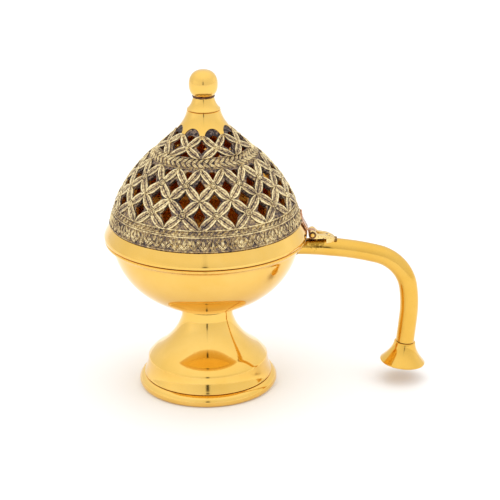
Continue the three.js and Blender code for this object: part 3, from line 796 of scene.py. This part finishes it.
def embossed(name, along, width_at, profile, swell):
    """A motif on x 0 to 1: its half width at each x, and (share across, height, rub) across."""
    bm = bmesh.new()
    across = len(profile) - 1
    bmesh.ops.create_grid(bm, x_segments=along, y_segments=across, size=0.5)
    rub_and_shade = bm.verts.layers.float.new("rub_and_shade")
    for vert in bm.verts:
        x = vert.co.x + 0.5
        share, height, polish = profile[round((vert.co.y + 0.5) * across)]
        tip = swell(x)
        vert.co = (x - 0.5, share * width_at(x), height * tip)
        vert[rub_and_shade] = polish * (0.55 + 0.45 * tip)
    border = [edge for edge in bm.edges if edge.is_boundary]
    for vert in verts_of(bmesh.ops.extrude_edge_only(bm, edges=border)):
        vert.co.z = -SINK
        vert[rub_and_shade] = 0.0
    bmesh.ops.holes_fill(bm, edges=[e for e in bm.edges if e.is_boundary], sides=0)
    bmesh.ops.recalc_face_normals(bm, faces=bm.faces)
    return keep(bm, name)

# %% Emboss the petal and the leaf
def petal_width(x):
    """Pointed at the crossing, full in the middle, blunt at the boss."""
    if x < 0.45:
        return 0.5 + 2.4 * sin(pi / 2 * x / 0.45)
    return 2.9 - 0.8 * ((x - 0.45) / 0.55) ** 2


PETAL_PROFILE = [(-1, 0.3, 0.05), (-0.84, 0.9, 1.0), (-0.66, 0.82, 0.85), (-0.46, 0.55, 0.35),
                 (-0.22, 0.62, 0.6), (0, 0.2, -0.1), (0.22, 0.62, 0.6), (0.46, 0.55, 0.35),
                 (0.66, 0.82, 0.85), (0.84, 0.9, 1.0), (1, 0.3, 0.05)]
LEAF_PROFILE = [(-1, 0.1, 0.3), (-0.5, 0.55, 0.95), (0, 0.3, 0.35), (0.5, 0.55, 0.95),
                (1, 0.1, 0.3)]

PETAL = embossed("petal", 10, petal_width, PETAL_PROFILE,
                 lambda x: 0.75 + 0.25 * sin(pi * x))
LEAF = embossed("leaf", 6, lambda x: 0.12 + 0.88 * sin(pi * min(1, 0.06 + x) ** 0.8),
                LEAF_PROFILE, lambda x: 0.6 + 0.4 * sin(pi * x))

# %% Turn the boss
def boss_motif():
    """A button in a ring, with a dark groove between them."""
    outline = [(0, 1.0), (0.65, 0.92), (0.98, 0.66), (1.12, 0.42), (1.28, 0.72), (1.5, 0.8),
               (1.68, 0.6), (1.78, 0.1), (1.78, -SINK), (0, -SINK)]
    bm = turned(outline, closed=False, around=16)
    rub_and_shade = bm.verts.layers.float.new("rub_and_shade")
    for vert in bm.verts:
        radius = hypot(vert.co.x, vert.co.y)
        groove = exp(-((radius - 1.12) / 0.1) ** 2)
        polish = 0.55 if radius < 1.0 else 0.85
        vert[rub_and_shade] = 0.0 if vert.co.z < 0.15 else polish * (1 - groove)
    return keep(bm, "boss")


BOSS = boss_motif()
print({mesh.name: len(mesh.polygons) for mesh in (PETAL, LEAF, BOSS)})

# %% [markdown]
# ## Pierced sheet
# The dome's ground is made as a flat sheet for one eighth of the way round, because a flat sheet
# can be sawn with straight cuts. Each hole is cut by slicing the sheet along its sides and
# dropping the middle out. The sheet then gets its thickness while it is still flat, and is bent
# round, repeated eight times and welded.

# %% Saw a hole
PATTERN_TURN = 19.85
REPEATS = 8
SECTOR = 360 / REPEATS
GROUND_TOP = climb_to(151.3)
DOME_WALL = 1.8


def sawn(bm, azimuth, climb, corners):
    """Cuts a convex hole out of a flat sheet of (degrees, climb), corners in mm anticlockwise."""
    radius = side_at(climb)[0]
    ring = [(azimuth + degrees(x / radius), climb + y) for x, y in corners]
    low = [min(corner[i] for corner in ring) - 0.01 for i in (0, 1)]
    high = [max(corner[i] for corner in ring) + 0.01 for i in (0, 1)]
    sides = [(Vector((*a, 0)), Vector((b[1] - a[1], a[0] - b[0], 0)).normalized())
             for a, b in zip(ring, ring[1:] + ring[:1])]
    for spot, outwards in sides:
        near = [face for face in bm.faces
                if all(min(v.co[i] for v in face.verts) < high[i]
                       and max(v.co[i] for v in face.verts) > low[i] for i in (0, 1))]
        geom = set(near) | {e for f in near for e in f.edges} | {v for f in near for v in f.verts}
        bmesh.ops.bisect_plane(bm, geom=list(geom), dist=1e-5, plane_co=spot, plane_no=outwards)
    inside = [face for face in bm.faces
              if all((face.calc_center_median() - spot).dot(outwards) < 0
                     for spot, outwards in sides)]
    bmesh.ops.delete(bm, geom=inside, context="FACES")

# %% Draw the holes and the sheet
def diamond(half_width, down, up):
    """Corners of a diamond hole."""
    return [(0, -down), (half_width, 0), (0, up), (-half_width, 0)]


def half_round(radius, base, sides=12):
    """Corners of an arch: a half circle on a straight base."""
    arc = [(radius * cos(pi * i / sides), radius * sin(pi * i / sides))
           for i in range(sides + 1)]
    return [(-radius, -base), (radius, -base)] + arc


def flat_sheet(low, high, columns, rows):
    """A flat sheet one sector wide, centred on azimuth 0, between two climbs."""
    bm = bmesh.new()
    bmesh.ops.create_grid(bm, x_segments=columns, y_segments=rows, size=0.5)
    bmesh.ops.scale(bm, vec=(SECTOR, high - low, 1), verts=bm.verts)
    bmesh.ops.translate(bm, vec=(0, (low + high) / 2, 0), verts=bm.verts)
    return bm

# %% Thicken the sheet and bend it round
def thickened(bm, thickness):
    """Gives a flat sheet its wall inwards, left open at both sides of the sector."""
    made = bmesh.ops.extrude_face_region(bm, geom=bm.faces[:], use_keep_orig=True)
    bmesh.ops.translate(bm, vec=(0, 0, -thickness), verts=verts_of(made))
    edge = SECTOR / 2 - 1e-4
    seams = [face for face in bm.faces
             if min(v.co.x for v in face.verts) > edge or max(v.co.x for v in face.verts) < -edge]
    bmesh.ops.delete(bm, geom=seams, context="FACES")
    return bm


def bent_round(bm, lift=0.0):
    """Bends a sawn sheet onto the dome, repeats it all the way round and welds the seams."""
    for vert in bm.verts:
        vert.co = dome_spot(vert.co.x + PATTERN_TURN, vert.co.y, vert.co.z + lift)
    everything = bm.verts[:] + bm.edges[:] + bm.faces[:]
    bmesh.ops.spin(bm, geom=everything, cent=(0, 0, 0), axis=(0, 0, 1), use_duplicate=True,
                   angle=tau * (REPEATS - 1) / REPEATS, steps=REPEATS - 1)
    bmesh.ops.remove_doubles(bm, verts=bm.verts, dist=0.02)
    bmesh.ops.recalc_face_normals(bm, faces=bm.faces)
    mark_inside(bm, (0, 0, 100))
    return bm

# %% Saw the ground
HOLE_ROWS = [
    ((-22.5, 0, 22.5), 113.0, diamond(3.3, 6.2, 5.0)),
    ((-11.25, 11.25), 119.9, diamond(3.4, 4.6, 4.6)),
    ((-22.5, 0, 22.5), 126.0, diamond(3.0, 4.3, 4.3)),
    ((-11.25, 11.25), 131.2, [(0, -2.6), (1.5, -1.2), (2.1, 0.6), (1.3, 1.7),
                              (-1.3, 1.7), (-2.1, 0.6), (-1.5, -1.2)]),
    ((0,), 139.3, [(-3.6, -1.5), (3.6, -1.5), (0, 1.9)]),
    ((-22.5, 22.5), 142.4, diamond(3.0, 3.9, 3.9)),
    ((0,), 146.0, [(0, -2.4), (2.5, -0.2), (1.9, 1.2), (0, 1.8), (-1.9, 1.2), (-2.5, -0.2)]),
]
ground = flat_sheet(0, GROUND_TOP, 20, 34)
for azimuths, height, corners in HOLE_ROWS:
    for azimuth in azimuths:
        sawn(ground, azimuth, climb_to(height), corners)
print("one sector of ground:", len(ground.faces), "faces")
ground = bent_round(thickened(ground, DOME_WALL))

# %% [markdown]
# ## Relief
# The lattice has a boss at every crossing of one kind and four petal tips at the other. Leaves
# and cords fill the bands: a chased border and a twisted cord at the bottom, and a herringbone
# braid below the crown of eight broad crosses. Everything is laid by azimuth and climb.

# %% Lay the lattice
HALF_STEP = SECTOR / 4
LATTICE_STEP = SECTOR / 2
chisel = Random(5)
relief = bmesh.new()
relief.verts.layers.float.new("rub_and_shade")

ROOT_ROW, BOSS_ROW, CROSSING_ROW, UPPER_BOSS_ROW, BRAID_ROW = (
    climb_to(height) for height in (106.2, 113.1, 119.9, 126.5, 133.4))
PETALS = [  # where the tip starts, where the petal ends at a boss, and its width
    (ROOT_ROW, BOSS_ROW, 0.9), (CROSSING_ROW, BOSS_ROW, 1.0),
    (CROSSING_ROW, UPPER_BOSS_ROW, 0.92), (BRAID_ROW, UPPER_BOSS_ROW, 0.8),
]
for i in range(2 * REPEATS):
    boss = PATTERN_TURN - HALF_STEP + i * LATTICE_STEP
    for climb, size in ((BOSS_ROW, 1.0), (UPPER_BOSS_ROW, 0.88)):
        lay(relief, BOSS, boss, climb, size=(size, size, 1))
    for side in (-HALF_STEP, HALF_STEP):
        for start, end, width in PETALS:
            azimuth = boss + side + chisel.uniform(-0.35, 0.35)
            tip = (azimuth, start + chisel.uniform(-0.15, 0.15))
            cut_width = width * chisel.uniform(0.92, 1.06)
            lay_between(relief, PETAL, tip, (boss, end), cut_width, (0.2, 1.7))

# %% Lay the crown
CROWN_FOOT, CROWN_MIDDLE, CROWN_POINT = (climb_to(height) for height in (137.6, 141.9, 147.2))
CROSS_ARMS = [(0.93, CROWN_FOOT, 0.76), (0.95, CROWN_POINT, 0.7)]
for i in range(REPEATS):
    cross = PATTERN_TURN + i * SECTOR
    lay(relief, BOSS, cross, CROWN_MIDDLE, size=(0.7, 0.7, 1))
    for side in (-SECTOR / 2, SECTOR / 2):
        for reach, climb, width in CROSS_ARMS:
            arm = (cross + side * reach, climb)
            lay_between(relief, PETAL, arm, (cross, CROWN_MIDDLE), width, (0, 0.8))
print("lattice:", len(relief.faces), "faces")

# %% Lay the braid and the cords
def cord_round(bm, height, radius, polish, lift=0.15):
    """A raised cord all the way round the dome."""
    r, z, out, up = side_at(climb_to(height))
    ring = turned(oval(r + out * lift, z + up * lift, radius, radius, 8))
    rub_and_shade = ring.verts.layers.float.new("rub_and_shade")
    for vert in ring.verts:
        vert[rub_and_shade] = polish
    bm.from_mesh(keep(ring, "cord"))


BRAID_LOW, BRAID_HIGH = 133.6, 138.0
BRAID_LEAVES = 56
for height in (BRAID_LOW, BRAID_HIGH):
    cord_round(relief, height, 0.3, 0.4, 0.1)
braid_low, braid_high = climb_to(BRAID_LOW), climb_to(BRAID_HIGH)
braid_middle = (braid_low + braid_high) / 2
braid_step = 360 / BRAID_LEAVES
for i in range(BRAID_LEAVES):
    spine = i * braid_step
    for edge in (braid_low, braid_high):
        lay_between(relief, LEAF, (spine, braid_middle), (spine + 1.35 * braid_step, edge),
                    0.9 * chisel.uniform(0.9, 1.15))

CORDS = [(95.95, 0.4, 0.45), (103.0, 0.4, 0.75), (103.9, 0.28, 0.65), (106.3, 0.38, 0.75)]
for height, radius, polish in CORDS:
    cord_round(relief, height, radius, polish)

ROPE_LOW, ROPE_HIGH = climb_to(104.2), climb_to(106.0)
ROPE_TURNS = 96
rope_step = 360 / ROPE_TURNS
for i in range(ROPE_TURNS):
    lay_between(relief, LEAF, (i * rope_step, ROPE_LOW), ((i + 0.9) * rope_step, ROPE_HIGH),
                0.7 * chisel.uniform(0.85, 1.15))

# %% Lay the chased border
BORDER_REPEATS = 32
border_step = 360 / BORDER_REPEATS
low, high = climb_to(96.4), climb_to(102.6)
rise = high - low
SIDE_STROKES = [  # share of a repeat and climb at the start, the same at the end, and the width
    (0, low + 0.3, 0.36, low + 0.66 * rise, 0.95),
    (0.36, low + 0.5 * rise, 0.14, high - 0.2, 0.8),
    (0.5, low + 0.1, 0.27, low + 0.5 * rise, 0.62),
]
UPRIGHTS = [
    (0, low + 0.3 * rise, 0, high - 0.5, 1.1),
    (0.5, low + 0.2, 0.5, high - 0.3, 0.9),
]
for i in range(BORDER_REPEATS):
    for side, strokes in ((-1, SIDE_STROKES), (1, SIDE_STROKES), (1, UPRIGHTS)):
        for start, start_climb, end, end_climb, width in strokes:
            lay_between(relief, LEAF, ((i + side * start) * border_step, start_climb),
                        ((i + side * end) * border_step, end_climb), width)
print("relief:", len(relief.faces), "faces")

# %% Join the ground and its relief into one casting
SCALLOP_FOOT = 144.5
TRIANGLE_TOP = 111.0
SCALLOP_RUB, GROUND_RUB, TRIANGLE_RUB = 0.06, 0.18, 0.32
# painted shade: between these heights the rub is lowered towards the bottom, darkening the lowest
# rows as if in shade
FULL_SHADE_HEIGHT, NO_SHADE_HEIGHT = 104.0, 120.0
SHADED_SHARE = 0.88
relief_mesh = keep(relief, "relief")
rub_and_shade = ground.verts.layers.float.new("rub_and_shade")
for vert in ground.verts:
    vert[rub_and_shade] = GROUND_RUB
    if vert.co.z > SCALLOP_FOOT:
        vert[rub_and_shade] = SCALLOP_RUB
    elif vert.co.z < TRIANGLE_TOP:
        vert[rub_and_shade] = TRIANGLE_RUB
ground.from_mesh(relief_mesh)
# paint shade on the lowest rows by lowering the rub towards the bottom of the dome
for vert in ground.verts:
    unshaded_share = min(1, max(0, (vert.co.z - FULL_SHADE_HEIGHT) / (NO_SHADE_HEIGHT - FULL_SHADE_HEIGHT)))
    vert[rub_and_shade] *= SHADED_SHARE + (1 - SHADED_SHARE) * unshaded_share
make_piece(ground, "dome_chased", "lid", [CHASED_BRASS, SMOKED_BRASS],
           ["lid_dome"], 50)

# %% [markdown]
# ## Polished cone
# Above the crown the dome is filed smooth and polished like the bowl. Its lower edge is cut in
# eight half rounds, where the dark punched ground shows through, with a point between each pair.
# It is sawn from a flat sheet in the same way as the ground, and stands a little proud of it.

# %% Saw and bend the cone
CONE_LIFT = 0.3
CONE_WALL = 1.2
CONE_FOOT = climb_to(145.6)
cone = flat_sheet(CONE_FOOT, climbs[-1] - 0.3, 72, 30)
sawn(cone, 0, climb_to(146.9), half_round(4.5, 3.5, 16))
cone = bent_round(thickened(cone, CONE_WALL), CONE_LIFT)
web = turned([(2.3, 155.9), (8.6, 155.9), (8.6, 157.9), (2.3, 157.9)])
mark_inside(web, (0, 0, 100))
cone.from_mesh(keep(web, "cone_web"))
make_piece(cone, "dome_cone", "lid", POLISHED_AND_SMOKED, ["lid_dome"])

# %% [markdown]
# ## Finial
# A flared collar and a slightly barrel-shaped ball are held by one stud. A short spigot under the
# collar closes the mouth of the cone. The joint between collar and ball is brazed, and a ragged
# dark ring sits in it, partly flux that nobody polished away and partly painted shade under the
# ball.

# %% Turn the collar
collar = [(2.3, 157.95), (8.0, 157.95), (8.0, 158.4), (8.85, 158.4), (9.0, 158.55), (8.95, 158.8)]
collar += sweep(collar[-1], (7.4, 160), (6.3, 162.2), (5.65, 165.3), 16)
collar += [(2.3, 165.3)]
make_piece(ease_edges(turned(collar, around=96), 0.1), "finial_collar_turned", "lid",
           [TURNED_BRASS], ["finial_collar"])

# %% Turn the ball
BALL_MIDDLE = 171.9
BALL_RADIUS = 7.8
BALL_HALF_HEIGHT = 7.9
BALL_SQUARENESS = 2.3
BALL_SEAT = 165.6
BALL_STEPS = 40
power = 2 / BALL_SQUARENESS
lowest = -asin(((BALL_MIDDLE - BALL_SEAT) / BALL_HALF_HEIGHT) ** (1 / power))
ball = [(0, 172.6), (2.3, 172.6), (2.3, BALL_SEAT)]
for i in range(BALL_STEPS + 1):
    angle = lowest + (pi / 2 - lowest) * i / BALL_STEPS
    across = cos(angle) ** power if i < BALL_STEPS else 0
    up = copysign(abs(sin(angle)) ** power, angle)
    ball.append((BALL_RADIUS * across, BALL_MIDDLE + BALL_HALF_HEIGHT * up))
make_piece(turned(ball, closed=False, around=96), "finial_ball_turned", "lid",
           [TURNED_BRASS], ["finial_ball"])

# %% Add the dark ring of flux and painted shade
# partly painted shade: this dark ring also stands in for the shade under the ball
dark_part = turned(oval(5.35, 165.5, 0.7, 0.75), around=96)
for vert in dark_part.verts:
    vert.co += 0.22 * noise.noise_vector(vert.co * 1.1)
make_piece(dark_part, "finial_dark_ring", "lid", [DARK_RING_FINISH])

# %% [markdown]
# ## Hinge
# The hinge is two rough castings with a pin. One leaf is brazed and riveted to the handle and
# has the two outer knuckles; the other is riveted to the dome and has the middle one. Seen from
# the side each leaf is a simple outline, so it is drawn as one face and pushed through its
# width, and its edges are then rounded as the tumbling barrel leaves them.

# %% Mix the cast finish
def cast_brass(name, bright, deep):
    """Cast brass, hardly polished, with dark pits."""
    material, tree, shader = shader_of(name)
    height, speckle = effect(tree, CASTING_GRAIN, 0.5)
    smears = effect(tree, HANDLING_MARKS, 2.0)[1]
    metal = blend_colours(tree, smears, bright, deep)
    pits = ramp(tree, speckle, [(0.0, 1.0), (0.22, 0.0)])
    set_inputs(tree, shader, Metallic=1.0,
               Base_Color=blend_colours(tree, pits, metal, (0.26, 0.13, 0.06, 1)),
               Roughness=calculate(tree, "MULTIPLY_ADD", smears, 0.14, 0.2),
               Normal=bumped(tree, height, 0.4, 0.0004))
    return material


COPPERY_CAST = cast_brass("coppery_cast_brass", (0.68, 0.38, 0.21, 1), (0.44, 0.21, 0.11, 1))
PALE_CAST = cast_brass("pale_cast_brass", (0.90, 0.68, 0.28, 1), (0.80, 0.50, 0.16, 1))
print("finishes:", COPPERY_CAST.name, PALE_CAST.name)

# %% Define the hinge helpers
PIN_X, PIN_Z = 58.3, 87.5
KNUCKLE = 2.2
HINGE_HALF_WIDTH = 4.5
MIDDLE_KNUCKLE = 1.55
KNUCKLE_GAP = 0.3
LEAF_THICKNESS = 1.4
TIP_START, TIP_LENGTH, TIP_NARROWING = 66, 5, 0.5


def side_plate(outline, low, high):
    """A plate with an outline of (x, z) corners, from one Y to another."""
    bm = bmesh.new()
    face = bm.faces.new([bm.verts.new((x, low, z)) for x, z in outline])
    made = bmesh.ops.extrude_face_region(bm, geom=[face], use_keep_orig=True)
    bmesh.ops.translate(bm, vec=(0, high - low, 0), verts=verts_of(made))
    bmesh.ops.recalc_face_normals(bm, faces=bm.faces)
    return ease_edges(bm, 0.28, 2)


def joined(parts):
    """Several closed solids as one bmesh."""
    bm = bmesh.new()
    for part in parts:
        bm.from_mesh(keep(part, "part"))
    return bm


def round_barrel(low, high, steps=22):
    """Corners round the barrel from one angle to another, in degrees."""
    turns = (radians(low + (high - low) * i / steps) for i in range(steps + 1))
    return [(PIN_X + KNUCKLE * cos(a), PIN_Z + KNUCKLE * sin(a)) for a in turns]

# %% Shape the body leaf
strap_under = PIN_Z - KNUCKLE
strap_top = strap_under + LEAF_THICKNESS
strap_foot = [(65.8, strap_under), (65.8, 82.6), (71.0, 82.6), (71.0, strap_top - 2.3),
              (70.2, strap_top - 1.6), (68.9, strap_top - 0.9), (66.6, strap_top - 0.1)]
strap_shoulder = [(61.4, PIN_Z), (60.7, PIN_Z + 0.55), (59.9, PIN_Z + 1.5)]
outer_arm = round_barrel(70, 270) + strap_foot + strap_shoulder
middle_start = PIN_X + KNUCKLE + 0.6
middle_arm = [(middle_start, strap_top), (middle_start, strap_under)] + strap_foot
arm_low = MIDDLE_KNUCKLE + KNUCKLE_GAP
body_leaf = joined([
    side_plate(outer_arm, arm_low, HINGE_HALF_WIDTH),
    side_plate(outer_arm, -HINGE_HALF_WIDTH, -arm_low),
    side_plate(middle_arm, -arm_low - 0.4, arm_low + 0.4),
])
for vert in body_leaf.verts:
    share = min(1, max(0, vert.co.x - TIP_START) / TIP_LENGTH)
    vert.co.y *= 1 - TIP_NARROWING * share ** 1.5
make_piece(body_leaf, "hinge_body_leaf_cast", "censer", [PALE_CAST],
           ["hinge_body_leaf"])

# %% Shape the lid leaf
LID_LEAF_TOP, LID_LEAF_BEND, LID_LEAF_SPLIT = 100.3, 97.0, 90.3
PAD_THICKNESS = 0.95
seat_top = side_at(climb_to(LID_LEAF_TOP))[0] + 0.1
seat_bend = side_at(climb_to(LID_LEAF_BEND))[0] + 0.3


def across_to(low, high, height):
    """The x of the straight line between two (x, z) corners at a height."""
    return low[0] + (high[0] - low[0]) * (height - low[1]) / (high[1] - low[1])


pad = [(seat_bend + PAD_THICKNESS, LID_LEAF_BEND - 1.0),
       (seat_top + PAD_THICKNESS, LID_LEAF_TOP - 0.6),
       (seat_top + PAD_THICKNESS - 0.4, LID_LEAF_TOP - 0.2), (seat_top - 0.4, LID_LEAF_TOP - 0.2),
       (seat_bend - 0.4, LID_LEAF_BEND), (seat_bend + 0.1, LID_LEAF_BEND - 0.3)]
strap_back = (PIN_X - KNUCKLE, PIN_Z + 1)
tangent = round_barrel(-180, 135)[-1]
split_corners = [(across_to(strap_back, pad[-1], LID_LEAF_SPLIT), LID_LEAF_SPLIT),
                 (across_to(tangent, pad[0], LID_LEAF_SPLIT), LID_LEAF_SPLIT)]
lid_leaf = joined([
    side_plate(round_barrel(-180, 135) + pad + [strap_back], -MIDDLE_KNUCKLE, MIDDLE_KNUCKLE),
    side_plate(split_corners + pad, -HINGE_HALF_WIDTH, HINGE_HALF_WIDTH),
])
make_piece(lid_leaf, "hinge_lid_leaf_cast", "lid", [COPPERY_CAST], ["hinge_lid_leaf"])

# %% Turn the pin
PIN_RADIUS = 0.9
PIN_END = HINGE_HALF_WIDTH + 0.3
pin_end = [(PIN_RADIUS, PIN_END), (1.1, PIN_END), (1.0, PIN_END + 0.2), (0.6, PIN_END + 0.38),
           (0, PIN_END + 0.42)]
pin_outline = [(radius, -end) for radius, end in pin_end[::-1]] + pin_end


def onto_pin(bm, facing, shift):
    """Lays a turned piece along the pin with its top to the front, 1, or to the back, -1."""
    quarter = Matrix.Rotation(facing * pi / 2, 3, "X")
    bmesh.ops.rotate(bm, cent=(0, 0, 0), matrix=quarter, verts=bm.verts)
    bmesh.ops.translate(bm, vec=(PIN_X, shift, PIN_Z), verts=bm.verts)
    return bm


pin = onto_pin(turned(pin_outline, closed=False, around=40), 1, 0)
make_piece(pin, "hinge_pin_turned", "censer", [TURNED_BRASS], ["hinge_pin"])

# dark rings on both ends of the barrel, round the pin
barrel_rings = bmesh.new()
for side in (-1, 1):
    ring = turned([(0.95, 0.02), (2.05, 0.02), (2.0, 0.1), (0.95, 0.1)], around=40)
    barrel_rings.from_mesh(keep(onto_pin(ring, -side, side * HINGE_HALF_WIDTH), "barrel_ring"))
make_piece(barrel_rings, "hinge_barrel_rings", "censer", [DARK_RING_FINISH])

# %% Turn the rivets
def rivet_button(radius, height, depth):
    """A domed rivet head on a short shank."""
    outline = [(0, -depth), (radius * 0.6, -depth), (radius * 0.6, 0), (radius, 0)]
    outline += sweep((radius, 0), (radius, height * 0.6), (radius * 0.5, height), (0, height), 8)
    return turned(outline, closed=False, around=32)


LID_RIVET_CLIMB = climb_to(98.8)
LID_RIVETS = {"front": -2.7, "back": 2.7}
seat_radius, _, out, up = side_at(LID_RIVET_CLIMB)
pad_lift = PAD_THICKNESS + 0.1
button = keep(rivet_button(1.3, 0.55, 3.4), "button")
for name, side in LID_RIVETS.items():
    rivet = bmesh.new()
    lay(rivet, button, 90 + degrees(side / seat_radius), LID_RIVET_CLIMB)
    bmesh.ops.translate(rivet, vec=(pad_lift * out, 0, pad_lift * up), verts=rivet.verts)
    make_piece(rivet, f"lid_leaf_rivet_{name}_turned", "lid", [COPPERY_CAST],
               [f"lid_leaf_rivet_{name}"])

foot_rivet = rivet_button(1.15, 0.4, 2.4)
bmesh.ops.translate(foot_rivet, vec=(67.4, 0, strap_top - 0.25), verts=foot_rivet.verts)
make_piece(foot_rivet, "body_leaf_rivet_turned", "censer", [PALE_CAST],
           ["body_leaf_rivet"])

# %% Braze the foot of the leaf
BEAD_COUNT = 7
BEAD_SPREAD = 2.2
BEAD_X, BEAD_Z = 70.9, 84.5
# the beads are real braze, and their dark colour is partly painted shade where the leaf's foot
# meets the tube
beads = bmesh.new()
for i in range(BEAD_COUNT):
    side = BEAD_SPREAD * (2 * i / (BEAD_COUNT - 1) - 1)
    made = bmesh.ops.create_icosphere(beads, subdivisions=3, radius=1.0)["verts"]
    bmesh.ops.scale(beads, vec=(1.0, 1.0, 0.45), verts=made)
    drop = TUBE_RADIUS - sqrt(TUBE_RADIUS ** 2 - side ** 2)
    bmesh.ops.translate(beads, vec=(BEAD_X, side, BEAD_Z - drop), verts=made)
    for vert in made:
        vert.co += 0.22 * noise.noise_vector(vert.co * 0.8)
make_piece(beads, "leaf_braze", "censer", [BRAZE_AND_SHADE])

# %% [markdown]
# ## Fixings left as they are
# The closing disc, the washer, the nuts and the stud are hidden, or seen only from below or
# through the open lid. Their simple shapes are already right, so they keep them and only get a
# plain turned finish.

# %% Finish the fixings
PLAIN_BRASS = polished_brass("plain_brass", (0.62, 0.38, 0.10, 1), (0.42, 0.24, 0.06, 1), 0.32, 1.0)
for name in ("foot_plate", "bolt_washer", "bolt_nut", "finial_stud", "finial_nut"):
    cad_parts[name].material_slots[0].material = PLAIN_BRASS
    print("finished", name)
